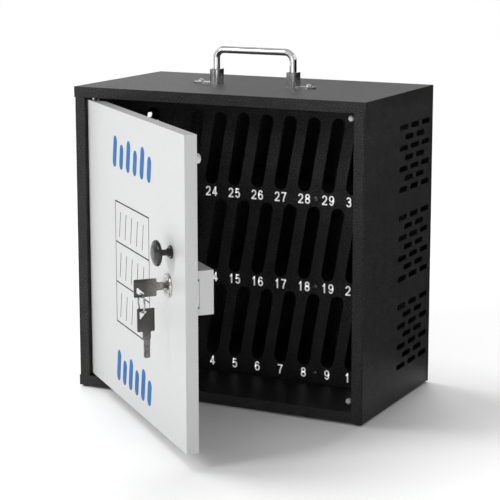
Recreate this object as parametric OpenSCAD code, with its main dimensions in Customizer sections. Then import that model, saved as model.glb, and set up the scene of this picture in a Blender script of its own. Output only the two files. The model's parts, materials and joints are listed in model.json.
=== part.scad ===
// A steel cabinet with three tiers of leaning slots behind one hinged, locking door.
// Origin: centre of the footprint, in the plane of the base rim. The front faces -Y.

/* [Cabinet] */
// Width over the front rails
body_w = 400; // [350:1:520]
// Height from the base rim to the roof, without feet and handle
body_h = 390; // [385:1:500]
// Depth from the front face to the back face
body_d = 220; // [195:1:320]
// Thickness of the sheet steel
sheet = 1.2; // [0.8:0.1:2]
// Height of the top and bottom front rails
rail_h = 13.5; // [11:0.5:20]
// Width of each upright front jamb
jamb_w = 15; // [13:0.5:24]
// How far the jamb's inner edge is folded back
jamb_return = 13.5; // [8:0.5:14]
// How far rails, roof and back stand proud of the sides
edge_lap = 0.8; // [0.4:0.1:2]
// Width of the lips folded under the rails and round the base
lip_w = 16; // [14:0.5:20]
// Width of the laps where two sheets are welded
lap_w = 12; // [8:0.5:14]

/* [Vents] */
// Length of one vent slot
vent_len = 28; // [16:0.5:32]
// Height of one vent slot
vent_h = 7; // [4:0.5:10]
// Distance between vent slots along a row
vent_step = 37; // [34:0.5:44]
// Distance between rows of vents
vent_rise = 12.9; // [11:0.1:15]
// Distance from the back face to the centre of the last vent
vent_inset = 22; // [18:0.5:30]
// Height of each group's first row above the slots' lowest point
vent_lift = 8; // [2:0.5:20]

/* [Rack] */
// Number of slots in a tier
slot_count = 10; // [4:1:10]
// Distance between slots
slot_step = 33; // [28:0.5:33.5]
// Distance between tiers
tier_step = 112.8; // [108:0.1:113]
// Width of a slot, square to its sides
slot_w = 17.7; // [10:0.1:22]
// Height of a slot
slot_h = 95; // [70:0.5:98]
// Angle that a slot leans to the right
slot_lean = 10; // [0:0.5:11]
// Height of the lowest slots' lowest point
slot_base = 35.4; // [34:0.1:37]
// Distance from the cabinet's front to the slotted front plates
rack_set = 98.5; // [70:0.5:110]
// Distance from the front plates to the rear combs
comb_set = 76; // [30:0.5:80]
// Height of the plate left over the slots
bridge_h = 2; // [1.5:0.5:4]
// Height of a rear comb over its slots
comb_cap = 10; // [4:0.5:10]
// Width of a rear comb beside its outermost slots
comb_rim = 8; // [4:0.5:16]
// Depth of the shelves' front flanges
shelf_skirt = 14; // [10:0.5:14]
// Depth of a rack screw's centre under the slots
rack_screw_drop = 8; // [6:0.5:9]

/* [Door] */
// Angle at which the door stands open
door_open = 41.5; // [0:0.5:105]
// Gap between the door and each jamb
door_gap = 2.5; // [1.5:0.1:4]
// Gap between the door and each rail
rail_gap = 3; // [2:0.1:5]
// Depth of the door's folded edges
door_t = 14.5; // [13:0.5:15]
// Width of the lips on the door's inner side
door_lip = 12; // [8:0.5:16]
// Distance from the door's hinge edge to the hinge axis
pin_edge = 8.2; // [7.5:0.1:8.4]
// Distance from the door's outer face to the hinge axis
pin_inset = 6; // [5:0.1:6.2]
// Radius of the hinge pins
pin_r = 2.5; // [2:0.1:3]
// Thickness of the hinge tabs
tab_t = 3; // [2:0.5:4]

/* [Lock and knob] */
// Distance from the door's free edge to the lock's axis
lock_edge = 57; // [50:0.5:80]
// Height of the lock's axis
lock_z = 197; // [160:1:230]
// Radius of the lock's threaded barrel
barrel_r = 9.5; // [8:0.5:11]
// Radius of the lock's rose
rose_r = 14; // [12:0.5:16]
// Radius of the plug that the key turns
plug_r = 6; // [5.8:0.1:6.5]
// How far the bolt is thrown
bolt_throw = 14; // [8:0.5:14]
// Height of the bolt
bolt_h = 29; // [28:0.5:34]
// Thickness of the bolt
bolt_t = 2; // [1.5:0.1:2.2]
// Depth of the lock housing behind the door
housing_d = 19.4; // [16:0.1:26]
// Height of the lock housing
housing_h = 50; // [42:1:60]
// Distance from the door's free edge to the knob's axis
knob_edge = 46.5; // [36:0.5:70]
// Height of the knob above the lock's axis
knob_rise = 40; // [35:0.5:80]
// Radius of the knob's head
knob_r = 15; // [10:0.5:18]
// How far the knob stands out from the door
knob_reach = 22.5; // [18:0.5:40]

/* [Keys] */
// Thickness of a key
key_t = 2; // [1.5:0.1:2.4]
// Length of a key's bow
bow_l = 26.4; // [24:0.1:32]
// Width of a key's bow
bow_w = 20.2; // [18:0.2:26]
// Width of a key's neck
neck_w = 9.2; // [8:0.1:10]
// Length of a key's neck
neck_l = 8; // [5:0.5:8.5]
// Length of a key's neck and blade together
blade_l = 30.6; // [26:0.1:30.8]
// Width of a key's blade
blade_w = 7; // [6:0.1:8]
// How far the bow of the key in the lock stands off the door
bow_off = 14.2; // [14:0.1:18]
// Radius of the key ring at the middle of its wire
ring_r = 10.9; // [9:0.1:16]
// Radius of the key ring's wire
wire_r = 1.1; // [0.8:0.1:1.2]

/* [Handle] */
// Distance between the handle's two legs
grip_w = 108.4; // [80:0.2:160]
// Height of the grip's centre over the roof
grip_h = 44; // [34:0.5:60]
// Radius of the handle's bar
bar_r = 4.5; // [3:0.1:5]
// Radius of the handle's bends at the middle of the bar
bend_r = 11; // [7:0.5:16]
// Thickness of the handle's brackets
bracket_t = 2.1; // [1.2:0.1:2.4]
// Depth of the handle's brackets
bracket_d = 15; // [13.5:0.5:18]
// Outer radius of the brackets' upright bends
bracket_bend = 3.6; // [2.6:0.1:4.4]
// Height of the handle's brackets
bracket_h = 19; // [14:0.5:22]
// Length of a bracket's foot outside its channel
foot_l = 25; // [20:0.5:30]
// Width of a bracket's foot
foot_w = 14; // [12:0.5:15]

/* [Fixings] */
// Distance between the wall holes across the back
wall_dx = 300; // [200:1:340]
// Distance between the wall holes up the back
wall_dz = 280; // [200:1:290]
// Radius of the wall holes
wall_r = 3; // [2:0.1:4]
// Radius of the small screws
screw_r = 2; // [1.5:0.1:2]
// How far the four pads stand out below the base rim
foot_t = 2; // [1:0.1:4]

/* [Hidden] */

// Clearances
run_gap = 0.05;
seat_gap = 0.02;
clear = 0.3;
hole_gap = 0.2;

// Finishes
coat = "dimgray";
door_coat = "gainsboro";
bright = "silver";

// Places of the cabinet's sheets
tiers = 3;
y_front = -body_d / 2;
y_back = body_d / 2;
side_out = body_w / 2 - edge_lap;
side_in = side_out - sheet;
jamb_in = body_w / 2 - jamb_w;
head_z = body_h - rail_h;
under_roof = body_h - sheet;

// Places of the rack
rack_y = y_front + rack_set;
comb_y = rack_y + comb_set;
shelf_x = side_in - sheet;
shelf_back = y_back - 2 * sheet;
slot_run = slot_h - slot_w;
slot_shift = slot_run * tan(slot_lean);
columns = [for (i = [0 : slot_count - 1]) (i - (slot_count - 1) / 2) * slot_step - slot_shift / 2];
comb_x = slot_w / 2 + comb_rim - columns[0];
rack_screw_x = [columns[2] - slot_step / 2, columns[slot_count - 2] - slot_step / 2];

// Places of the door, drawn shut and then swung about the hinge axis
door_l = -jamb_in + door_gap;
door_r = jamb_in - door_gap;
door_b = rail_h + rail_gap;
door_top = head_z - rail_gap;
pin_x = door_l + pin_edge;
pin_y = y_front + pin_inset;
door_in = y_front + door_t;
notch_x = pin_x + 9;
flange_r = pin_inset - sheet - clear;
lock_x = door_r - lock_edge;
knob_x = door_r - knob_edge;
knob_z = lock_z + knob_rise;

// Depths of the lock's pieces behind the door's outer face; the bolt slides over the door's lip
rose_t = 3.2;
bolt_near = door_t + clear;
bolt_far = bolt_near + bolt_t;
barrel_l = bolt_near - clear;
plug_end = bolt_far + clear;
lever_t = 1.7;
lever_end = plug_end + lever_t;
housing_far = door_t + housing_d;
nut_t = 4;

// The eccentric pin swings evenly to both sides of the vertical
lever_r = bolt_throw / (2 * sin(45));
lever_pin_r = 2;
lever_slack = 0.03 * lever_r + clear;
bolt_slot_h = 2 * (plug_r + clear);
guide_r = bolt_slot_h / 2 - run_gap;
guide_back = 18;
rivet_r = 2;
bolt_rim = 6;
bolt_start = lock_x - guide_back - bolt_throw - bolt_slot_h / 2 - bolt_rim;
mouth_gap = 2;
housing_start = bolt_start - 3;
housing_end = door_r - 2.5;
housing_low = lock_z - housing_h / 2 + 1;

// A key's hole is a right-angled triangle; its corner lies at the bow's outer end, on its lower side
bow_shift = 0.8;
key_hole = [10.5, 9.5];
hole_cut = 1.4;
hole_rim = [3, 2.7];
hole_x = hole_rim[0] - bow_l;
hole_y = hole_rim[1] - bow_w / 2 - bow_shift;

// Places of the keys, in the lock's own axes: x along the door, y up, z out of the door
wire_in = 5.7;
wire_side = 2.5;
ring_out = bow_off - hole_x - wire_in;
wire_top = hole_y + wire_r + clear;
wire_low = wire_top - 2 * ring_r;
spare_y = wire_low + hole_x + wire_r + clear;
spare_out = ring_out + hole_y + wire_side;
keyway = [key_t + 2 * hole_gap, blade_w + 2 * hole_gap];
keyway_end = blade_l - bow_off + hole_gap;

// Places of the handle, whose legs stand in channels that are open to the back
leg_x = grip_w / 2;
leg_lift = 0.4;
leg_room = 1.4;
pivot_z = body_h + bracket_t + bar_r + leg_lift;
channel_x = bar_r + clear;
bracket_y = -bar_r - leg_room - bracket_t;
foot_end = leg_x + channel_x + bracket_t + foot_l;
foot_screw_x = foot_end - 10;
foot_inset = 2.3;
foot_y = bracket_y + foot_w / 2;

// The pads are pushed into the base rim from above
pad_r = 5;
pad_flange = 1.3;

module box(lo, hi) {
    translate(lo) cube(hi - lo);
}

// A tube of the sheet's thickness round a rectangle, open at both ends
module ring_wall(lo, hi, t) {
    difference() {
        box(lo, hi);
        box([lo[0] + t, lo[1] + t, lo[2] - 1], [hi[0] - t, hi[1] - t, hi[2] + 1]);
    }
}

// An upright bar along Y, for holes through front-facing sheets
module drill_y(x, y, z, r, l) {
    translate([x, y, z]) rotate([-90, 0, 0]) cylinder(r = r, h = l, $fn = 48);
}

// Swings a piece of the shut door to where the door stands
module swing() {
    translate([pin_x, pin_y, 0]) rotate([0, 0, -door_open]) translate([-pin_x, -pin_y, 0]) children();
}

// The lock's own axes, with z pointing out of the door's outer face
module at_lock() {
    swing() translate([lock_x, y_front, lock_z]) rotate([90, 0, 0]) children();
}

// Both ends of the hinge axis, the upper one turned over
module at_both_hinges() {
    children(0);
    translate([0, 0, door_b + door_top]) mirror([0, 0, 1]) children(0);
}

function slot_z(tier) = slot_base + tier * tier_step;

// A leaning slot with round ends, cut along Y; tail lengthens it downwards
module slot_cut(x, z, y, l, tail = 0) {
    run = slot_run / cos(slot_lean);
    translate([x, y, z + slot_w / 2]) rotate([0, slot_lean, 0]) {
        box([-slot_w / 2, 0, -tail], [slot_w / 2, l, run]);
        drill_y(0, 0, 0, slot_w / 2, l);
        drill_y(0, 0, run, slot_w / 2, l);
    }
}

// A vent slot with round ends, cut along X
module vent_cut(y, z) {
    half = (vent_len - vent_h) / 2;
    translate([-1, y, z]) {
        box([0, -half, -vent_h / 2], [sheet + 2, half, vent_h / 2]);
        for (side = [-1, 1])
            translate([0, side * half, 0]) rotate([0, 90, 0]) cylinder(d = vent_h, h = sheet + 2, $fn = 32);
    }
}

// Seven rows, with three vents and two by turns
module vent_group(z) {
    last_y = y_back - vent_inset;
    for (row = [0 : 6], i = [0 : 1 + (row + 1) % 2])
        vent_cut(last_y - (i + (row % 2) / 2) * vent_step, z + row * vent_rise);
}

// A side sheet lying from x = 0 to its thickness, with its rear lap on the inner side
module side_sheet() {
    color(coat) difference() {
        union() {
            box([0, y_front + sheet, 0], [sheet, y_back - sheet, under_roof]);
            box([-lap_w, shelf_back, rail_h], [sheet, y_back - sheet, under_roof]);
        }
        for (tier = [0 : tiers - 1])
            vent_group(slot_z(tier) + vent_lift);
    }
}

module side_panel_right() {
    translate([side_in, 0, 0]) side_sheet();
}

module side_panel_left() {
    mirror([1, 0, 0]) side_panel_right();
}

module top_panel() {
    color(coat) difference() {
        union() {
            box([-body_w / 2, y_front, under_roof], [body_w / 2, y_back, body_h]);
            box([-body_w / 2, y_front, head_z], [body_w / 2, y_front + sheet, body_h]);
            box([-side_in, y_front, head_z], [side_in, y_front + lip_w, head_z + sheet]);
        }
        translate([pin_x, pin_y, head_z - 1]) cylinder(r = pin_r + seat_gap, h = sheet + 2, $fn = 48);
        for (side = [-1, 1])
            translate([side * foot_screw_x, foot_y, under_roof - 1])
                cylinder(r = screw_r + hole_gap, h = sheet + 2, $fn = 32);
    }
}

module bottom_panel() {
    color(coat) difference() {
        union() {
            box([-body_w / 2, y_front, 0], [body_w / 2, y_front + sheet, rail_h]);
            box([-side_in, y_front, rail_h - sheet], [side_in, y_back - sheet, rail_h]);
            ring_wall([-side_in, y_front, 0], [side_in, y_back - sheet, rail_h], sheet);
            ring_wall([-side_in, y_front, 0], [side_in, y_back - sheet, sheet], lip_w);
        }
        translate([pin_x, pin_y, rail_h - sheet - 1]) cylinder(r = pin_r + seat_gap, h = sheet + 2, $fn = 48);
        at_pads() translate([0, 0, -1]) cylinder(r = pad_r + seat_gap, h = sheet + 2, $fn = 48);
    }
}

module back_panel() {
    color(coat) difference() {
        box([-body_w / 2, y_back - sheet, 0], [body_w / 2, y_back, under_roof]);
        for (x = [-wall_dx / 2, wall_dx / 2], z = [-wall_dz / 2, wall_dz / 2])
            drill_y(x, y_back - sheet - 1, body_h / 2 + z, wall_r, sheet + 2);
    }
}

// The right-hand jamb: front strip, inner return and the lap against the side
module jamb() {
    box([jamb_in, y_front, rail_h], [side_in, y_front + sheet, head_z]);
    box([jamb_in, y_front, rail_h], [jamb_in + sheet, y_front + jamb_return, head_z]);
    box([side_in - sheet, y_front, rail_h], [side_in, y_front + lap_w, head_z]);
}

// The two tabs that carry the buffers which the shut door rests against
buffer_x = jamb_in - 10.5;
buffer_l = 4.7;
buffer_r = 3.6;
tab_near = door_in + clear + buffer_l;
buffer_zs = [door_b + 5.5, door_top - 5.5];

module jamb_right() {
    color(coat) {
        jamb();
        for (z = buffer_zs) {
            box([jamb_in, y_front, z - 5], [jamb_in + sheet, tab_near + sheet, z + 5]);
            box([buffer_x - 6, tab_near, z - 5], [jamb_in + sheet, tab_near + sheet, z + 5]);
        }
    }
}

module jamb_left() {
    color(coat) mirror([1, 0, 0]) jamb();
}

module stop_buffers() {
    color("whitesmoke") for (z = buffer_zs)
        translate([buffer_x, tab_near, z]) rotate([90, 0, 0]) rotate_extrude($fn = 48)
            polygon([[0, 0], [buffer_r, 0], [buffer_r, 2], [buffer_r - 0.6, 3.4],
                [buffer_r - 1.8, 4.4], [0, buffer_l]]);
}

// The four corners of the base rim's lips
module at_pads() {
    inset = lip_w / 2;
    for (x = [inset - side_in, side_in - inset], y = [y_front + inset, y_back - sheet - inset])
        translate([x, y, 0]) children();
}

module base_pads() {
    edge = foot_t / 3;
    color("black") at_pads() rotate_extrude($fn = 48) polygon([[0, -foot_t], [pad_r - edge, -foot_t],
        [pad_r, edge - foot_t], [pad_r, sheet], [pad_r + pad_flange, sheet],
        [pad_r + pad_flange, sheet + pad_flange], [0, sheet + pad_flange]]);
}

// One tier of the slotted front, from its number band up to the bridge over its slots
module rack_front(tier) {
    low = tier == 0 ? rail_h : slot_z(tier - 1) + slot_h + bridge_h;
    high = tier == tiers - 1 ? under_roof : slot_z(tier) + slot_h + bridge_h;
    color(coat) difference() {
        union() {
            box([-side_in, rack_y, low], [side_in, rack_y + sheet, high]);
            for (x = [-side_in, side_in - sheet])
                box([x, rack_y, low], [x + sheet, rack_y + lap_w, high]);
            if (tier == tiers - 1)
                box([-side_in, rack_y - lap_w, high - sheet], [side_in, rack_y + sheet, high]);
        }
        for (x = columns)
            slot_cut(x, slot_z(tier), rack_y - 1, sheet + 2);
        for (x = rack_screw_x)
            drill_y(x, rack_y - 1, slot_z(tier) - rack_screw_drop, screw_r + hole_gap, sheet + 2);
    }
}

module rack_front_lower() rack_front(0);
module rack_front_middle() rack_front(1);
module rack_front_upper() rack_front(2);

// A shelf with a skirt behind the number band, an upstand at the back and turned-down ends
module shelf(tier) {
    z = slot_z(tier);
    near = rack_y + sheet;
    color(coat) difference() {
        union() {
            box([-shelf_x, near, z - sheet], [shelf_x, shelf_back, z]);
            box([-shelf_x, near, z - shelf_skirt], [shelf_x, near + sheet, z]);
            box([-shelf_x + lap_w, shelf_back - sheet, z - sheet], [shelf_x - lap_w, shelf_back, z + lap_w]);
            for (x = [-shelf_x, shelf_x - sheet])
                box([x, near, z - lap_w], [x + sheet, shelf_back, z]);
        }
        for (x = rack_screw_x)
            drill_y(x, near - 1, z - rack_screw_drop, screw_r + seat_gap, sheet + 2);
    }
}

module shelf_lower() shelf(0);
module shelf_middle() shelf(1);
module shelf_upper() shelf(2);

// A comb that stands on the shelf and guides the far ends; its slots are open below
module rack_comb(tier) {
    z = slot_z(tier);
    color(coat) difference() {
        box([-comb_x, comb_y, z], [comb_x, comb_y + sheet, z + slot_h + comb_cap]);
        for (x = columns)
            slot_cut(x, z, comb_y - 1, sheet + 2, slot_w);
    }
}

module rack_comb_lower() rack_comb(0);
module rack_comb_middle() rack_comb(1);
module rack_comb_upper() rack_comb(2);

// A round-headed screw pointing along -Z from z = 0, with its head above
module round_screw(r, head_r, head_h, l) {
    rotate_extrude($fn = 48) polygon([[0, -l], [r, -l], [r, 0], [head_r, 0], [head_r, head_h * 0.35],
        [head_r * 0.82, head_h * 0.75], [head_r * 0.45, head_h * 0.96], [0, head_h]]);
}

module rack_screws() {
    color(bright) for (tier = [0 : tiers - 1], x = rack_screw_x)
        translate([x, rack_y, slot_z(tier) - rack_screw_drop]) rotate([90, 0, 0])
            round_screw(screw_r, 3.5, 2.4, 6);
}

module hinge_pins() {
    low = rail_h - sheet;
    color(bright) at_both_hinges() translate([pin_x, pin_y, 0]) {
        translate([0, 0, low]) cylinder(r = pin_r, h = door_b + sheet + tab_t + 1.5 - low, $fn = 48);
        translate([0, 0, low - 1.6]) cylinder(r = flange_r, h = 1.6, $fn = 48);
    }
}

module hinge_washer() {
    color(bright) translate([pin_x, pin_y, rail_h]) difference() {
        cylinder(r = flange_r, h = rail_gap + sheet - run_gap, $fn = 48);
        translate([0, 0, -1]) cylinder(r = pin_r + seat_gap, h = rail_gap + sheet + 2, $fn = 48);
    }
}

// The door is a pan: skin, four folded edges and lips, cut away round the hinge tabs
module door_panel() {
    skin = y_front + sheet;
    lip_in = door_in - sheet;
    color(door_coat) swing() difference() {
        union() {
            box([door_l, y_front, door_b], [door_r, skin, door_top]);
            box([door_l, y_front, door_b], [door_l + sheet, door_in, door_top]);
            box([door_r - sheet, y_front, door_b], [door_r, door_in, door_top]);
            box([door_r - door_lip, lip_in, door_b], [door_r, door_in, door_top]);
            at_both_hinges() difference() {
                box([door_l, y_front, door_b], [door_r, door_in, door_b + sheet]);
                translate([notch_x, skin, door_b - 1]) rotate([0, 0, 50])
                    cube([door_t * 2, door_t * 2, sheet + 2]);
                box([door_l + sheet, skin, door_b - 1], [notch_x, door_in + 1, door_b + sheet + 1]);
            }
            at_both_hinges() box([notch_x + door_lip, lip_in, door_b], [door_r, door_in, door_b + door_lip]);
        }
        drill_y(lock_x, y_front - 1, lock_z, barrel_r + seat_gap, sheet + 2);
        drill_y(knob_x, y_front - 1, knob_z, screw_r + seat_gap, sheet + 2);
    }
}

module hinge_tabs() {
    low = door_b + sheet;
    color(bright) swing() at_both_hinges() difference() {
        box([door_l + sheet, y_front + sheet, low], [notch_x + 9, door_in - sheet, low + tab_t]);
        translate([pin_x, pin_y, low - 1]) cylinder(r = pin_r + run_gap, h = tab_t + 2, $fn = 48);
    }
}

// The round buffer on the lip at the free edge
module door_buffer() {
    color("lightgray") swing() translate([door_r - 6.5, door_in, door_top - 27]) rotate([-90, 0, 0])
        rotate_extrude($fn = 48) polygon([[0, 0], [5.6, 0], [5.6, 2], [4.9, 4], [3, 5.2], [0, 5.6]]);
}

// The knob: a foot, a slim neck and a mushroom head, with a blind hole for its screw
module knob() {
    foot_h = 2.2;
    foot_r = 7.7;
    neck_r = 3.5;
    head_h = 7;
    rim = knob_reach - head_h;
    color("black") swing() translate([knob_x, y_front, knob_z]) rotate([90, 0, 0]) difference() {
        rotate_extrude($fn = 64) polygon([[0, 0], [foot_r, 0], [foot_r, foot_h * 0.6], [foot_r - 0.8, foot_h],
            [neck_r, foot_h], [neck_r, rim - 1.5], [neck_r + 2, rim - 0.4], [knob_r * 0.72, rim + 0.4],
            [knob_r * 0.95, rim + 1.8], [knob_r, rim + 3.2], [knob_r * 0.95, rim + 4.5],
            [knob_r * 0.75, rim + 6], [knob_r * 0.4, rim + 6.8], [0, knob_reach]]);
        translate([0, 0, -1]) cylinder(r = screw_r + seat_gap, h = 9, $fn = 32);
    }
}

module knob_screw() {
    color(bright) swing() translate([knob_x, y_front + sheet, knob_z]) rotate([-90, 0, 0])
        round_screw(screw_r, 4, 2.6, 8);
}

// The rose and the threaded barrel, bored for the plug
module lock_body() {
    color(bright) at_lock() difference() {
        rotate_extrude($fn = 64) polygon([[0, -barrel_l], [barrel_r, -barrel_l], [barrel_r, 0], [rose_r, 0],
            [rose_r, 0.8], [rose_r - 1.2, 2], [rose_r - 4, rose_t], [plug_r + 1.2, rose_t], [0, rose_t]]);
        translate([0, 0, -barrel_l - 1]) cylinder(r = plug_r + run_gap, h = barrel_l + rose_t + 2, $fn = 64);
    }
}

module lock_nut() {
    color(bright) at_lock() translate([0, 0, -sheet - nut_t]) difference() {
        cylinder(r = barrel_r + 4.5, h = nut_t, $fn = 6);
        translate([0, 0, -1]) cylinder(r = barrel_r + seat_gap, h = nut_t + 2, $fn = 64);
    }
}

// The box over the lock on the door's inner side, with the slot that the bolt comes out of
module lock_housing() {
    skin = y_front + sheet;
    far = y_front + housing_far;
    lip_x = door_r - door_lip - clear;
    middle = lock_z - housing_low;
    color(door_coat) swing() translate([0, 0, housing_low]) difference() {
        box([housing_start, skin, 0], [housing_end, far, housing_h]);
        box([housing_start + sheet, skin - 1, sheet], [housing_end - sheet, far - sheet, housing_h - sheet]);
        box([lip_x, skin - 1, -1], [door_r, door_in, housing_h + 1]);
        box([housing_end - sheet - 1, y_front + bolt_near - clear, middle - bolt_h / 2 - mouth_gap],
            [door_r, y_front + bolt_far + clear, middle + bolt_h / 2 + mouth_gap]);
        drill_y(lock_x - guide_back, far - sheet - 1, middle, rivet_r + seat_gap, sheet + 2);
    }
}

// The stepped stud that guides the bolt, riveted into the housing's rear wall
module bolt_guide() {
    far = housing_far - sheet;
    color(bright) at_lock() translate([-guide_back, 0, 0]) {
        translate([0, 0, -far - sheet]) cylinder(r = rivet_r, h = sheet + 1, $fn = 32);
        translate([0, 0, -far]) cylinder(r = guide_r + 1.5, h = far - bolt_far - clear, $fn = 48);
        translate([0, 0, -bolt_far - clear]) cylinder(r = guide_r, h = bolt_t + 2 * clear, $fn = 48);
    }
}

module lock_plug() {
    color(bright) at_lock() difference() {
        translate([0, 0, -plug_end]) cylinder(r = plug_r, h = plug_end + rose_t - 0.4, $fn = 64);
        box([-keyway[0] / 2, -keyway[1] / 2, -keyway_end], [keyway[0] / 2, keyway[1] / 2, rose_t + 1]);
    }
}

// The lever on the plug's end and the eccentric pin that carries the bolt
module cam_lever() {
    color(bright) at_lock() rotate([0, 0, 45]) translate([0, 0, -lever_end]) {
        difference() {
            union() {
                cylinder(r = plug_r + 1.5, h = lever_t, $fn = 48);
                box([-4, 0, 0], [4, lever_r, lever_t]);
                translate([0, lever_r, 0]) cylinder(r = 4, h = lever_t, $fn = 48);
            }
            translate([0, 0, -1]) cylinder(r = 1.5 + seat_gap, h = lever_t + 2, $fn = 32);
        }
        translate([0, lever_r, 0]) cylinder(r = lever_pin_r, h = lever_end - bolt_near, $fn = 32);
    }
}

module cam_screw() {
    color(bright) at_lock() translate([0, 0, -lever_end]) rotate([180, 0, 0])
        round_screw(1.5, 3.5, 2.1, lever_t);
}

// The flat bolt: one long slot for the guide and the plug, one for the eccentric pin
module lock_bolt() {
    pin_at = -lever_r * sin(45);
    slot_low = -guide_back - bolt_throw - bolt_slot_h / 2;
    cut = bolt_t + 2;
    color(bright) at_lock() translate([0, 0, -bolt_far]) difference() {
        box([bolt_start - lock_x, -bolt_h / 2, 0], [housing_end - lock_x, bolt_h / 2, bolt_t]);
        box([slot_low + bolt_slot_h / 2, -bolt_slot_h / 2, -1], [bolt_slot_h / 2 + 0.5, bolt_slot_h / 2, cut]);
        translate([slot_low + bolt_slot_h / 2, 0, -1]) cylinder(d = bolt_slot_h, h = cut + 1, $fn = 48);
        box([pin_at - lever_pin_r - lever_slack, 0, -1],
            [pin_at + lever_pin_r + lever_slack, lever_r + lever_pin_r + clear, cut]);
    }
}

// A flat key lying along X, tip at +X, with its shoulder at the origin
module key() {
    tip = 1.6;
    near = neck_l + (neck_w - blade_w) / 2;
    long = key_hole[0];
    high = key_hole[1];
    linear_extrude(height = key_t, center = true) difference() {
        union() {
            translate([-bow_l, -bow_w / 2 - bow_shift]) square([bow_l, bow_w]);
            polygon([[-1, -neck_w / 2], [neck_l, -neck_w / 2], [near, -blade_w / 2],
                [blade_l - tip, -blade_w / 2], [blade_l, tip - blade_w / 2], [blade_l, blade_w / 2 - tip],
                [blade_l - tip, blade_w / 2], [near, blade_w / 2], [neck_l, neck_w / 2], [-1, neck_w / 2]]);
        }
        translate([hole_x, hole_y]) polygon([[hole_cut, 0], [long - hole_cut, 0],
            [long - hole_cut, high * hole_cut / long], [long * hole_cut / high, high - hole_cut],
            [0, high - hole_cut], [0, hole_cut]]);
    }
}

module key_in_lock() {
    color(bright) at_lock() translate([0, 0, bow_off]) rotate([0, 90, 0]) key();
}

module key_ring() {
    color(bright) at_lock() translate([0, wire_top - ring_r, ring_out]) rotate_extrude($fn = 64)
        translate([ring_r, 0]) circle(r = wire_r, $fn = 32);
}

module spare_key() {
    color(bright) at_lock() translate([0, spare_y, spare_out])
        rotate([-90, 0, 0]) rotate([0, 90, 0]) key();
}

// A channel bent round the leg, open to the back, on a foot that runs outwards over the roof
module handle_bracket() {
    inner = leg_x - channel_x - bracket_t;
    outer = leg_x + channel_x + bracket_t;
    far = bracket_y + bracket_d;
    color(bright) difference() {
        union() {
            translate([0, 0, body_h]) linear_extrude(height = bracket_h) difference() {
                round_front(inner, outer, bracket_y, far, bracket_bend);
                round_front(inner + bracket_t, outer - bracket_t, bracket_y + bracket_t, far + 1,
                    bracket_bend - bracket_t);
            }
            box([inner + foot_inset, bracket_y, body_h],
                [foot_end - foot_w / 2, bracket_y + foot_w, body_h + bracket_t]);
            translate([foot_end - foot_w / 2, foot_y, body_h]) cylinder(d = foot_w, h = bracket_t, $fn = 48);
        }
        translate([inner - 1, 0, pivot_z]) rotate([0, 90, 0])
            cylinder(r = screw_r + seat_gap, h = outer - inner + 2, $fn = 32);
        translate([foot_screw_x, foot_y, body_h - 1])
            cylinder(r = screw_r + hole_gap, h = bracket_t + 2, $fn = 32);
    }
}

// A flat rectangle whose two front corners are round
module round_front(x0, x1, y0, y1, r) {
    translate([x0 + r, y0]) square([x1 - x0 - 2 * r, y1 - y0]);
    translate([x0, y0 + r]) square([x1 - x0, y1 - y0 - r]);
    for (x = [x0 + r, x1 - r])
        translate([x, y0 + r]) circle(r = r, $fn = 48);
}

module handle_bracket_right() handle_bracket();
module handle_bracket_left() mirror([1, 0, 0]) handle_bracket();

module handle_pivots() {
    l = 2 * (channel_x + bracket_t);
    color(bright) for (side = [-1, 1])
        translate([side * leg_x - l / 2, 0, pivot_z]) rotate([0, 90, 0])
            cylinder(r = screw_r, h = l, $fn = 32);
}

module handle_screws() {
    color(bright) for (side = [-1, 1])
        translate([side * foot_screw_x, foot_y, body_h + bracket_t])
            round_screw(screw_r, 3.8, 3.4, 10);
}

module handle_nuts() {
    color(bright) for (side = [-1, 1])
        translate([side * foot_screw_x, foot_y, under_roof - 3.2]) difference() {
            cylinder(r = 4, h = 3.2, $fn = 6);
            translate([0, 0, -1]) cylinder(r = screw_r + seat_gap, h = 6, $fn = 32);
        }
}

// A round bar: two legs with round ends on the pivots, two bends and the grip
module handle_bar() {
    top = body_h + grip_h;
    color(bright) difference() {
        union() {
            for (side = [-1, 1]) {
                translate([side * leg_x, 0, pivot_z]) sphere(r = bar_r, $fn = 48);
                translate([side * leg_x, 0, pivot_z])
                    cylinder(r = bar_r, h = top - bend_r - pivot_z, $fn = 48);
                intersection() {
                    translate([side * (leg_x - bend_r), 0, top - bend_r]) rotate([90, 0, 0])
                        rotate_extrude($fn = 64) translate([bend_r, 0]) circle(r = bar_r, $fn = 48);
                    translate([side * leg_x, 0, top]) cube([2 * bend_r, 4 * bar_r, 2 * bend_r], center = true);
                }
            }
            translate([bend_r - leg_x, 0, top]) rotate([0, 90, 0])
                cylinder(r = bar_r, h = grip_w - 2 * bend_r, $fn = 48);
        }
        for (side = [-1, 1])
            translate([side * leg_x - bar_r - 1, 0, pivot_z]) rotate([0, 90, 0])
                cylinder(r = screw_r + run_gap, h = 2 * bar_r + 2, $fn = 32);
    }
}

top_panel();
bottom_panel();
side_panel_left();
side_panel_right();
back_panel();
jamb_left();
jamb_right();
rack_front_lower();
rack_front_middle();
rack_front_upper();
shelf_lower();
shelf_middle();
shelf_upper();
rack_comb_lower();
rack_comb_middle();
rack_comb_upper();
rack_screws();
stop_buffers();
base_pads();
hinge_pins();
hinge_washer();
handle_bracket_left();
handle_bracket_right();
handle_pivots();
handle_screws();
handle_nuts();
handle_bar();
door_panel();
hinge_tabs();
door_buffer();
knob();
knob_screw();
lock_body();
lock_nut();
lock_housing();
bolt_guide();
lock_plug();
cam_lever();
cam_screw();
lock_bolt();
key_in_lock();
key_ring();
spare_key();
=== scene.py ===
"""Looks for a steel locker cabinet with leaning, numbered slots behind a hinged, locking door.

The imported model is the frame. Pieces whose form is right keep their mesh and get a finish and soft
edges; knob, lock, keys, ring, handle bar, screws, buffers and pads are modelled again in finer form.
"""

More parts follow.
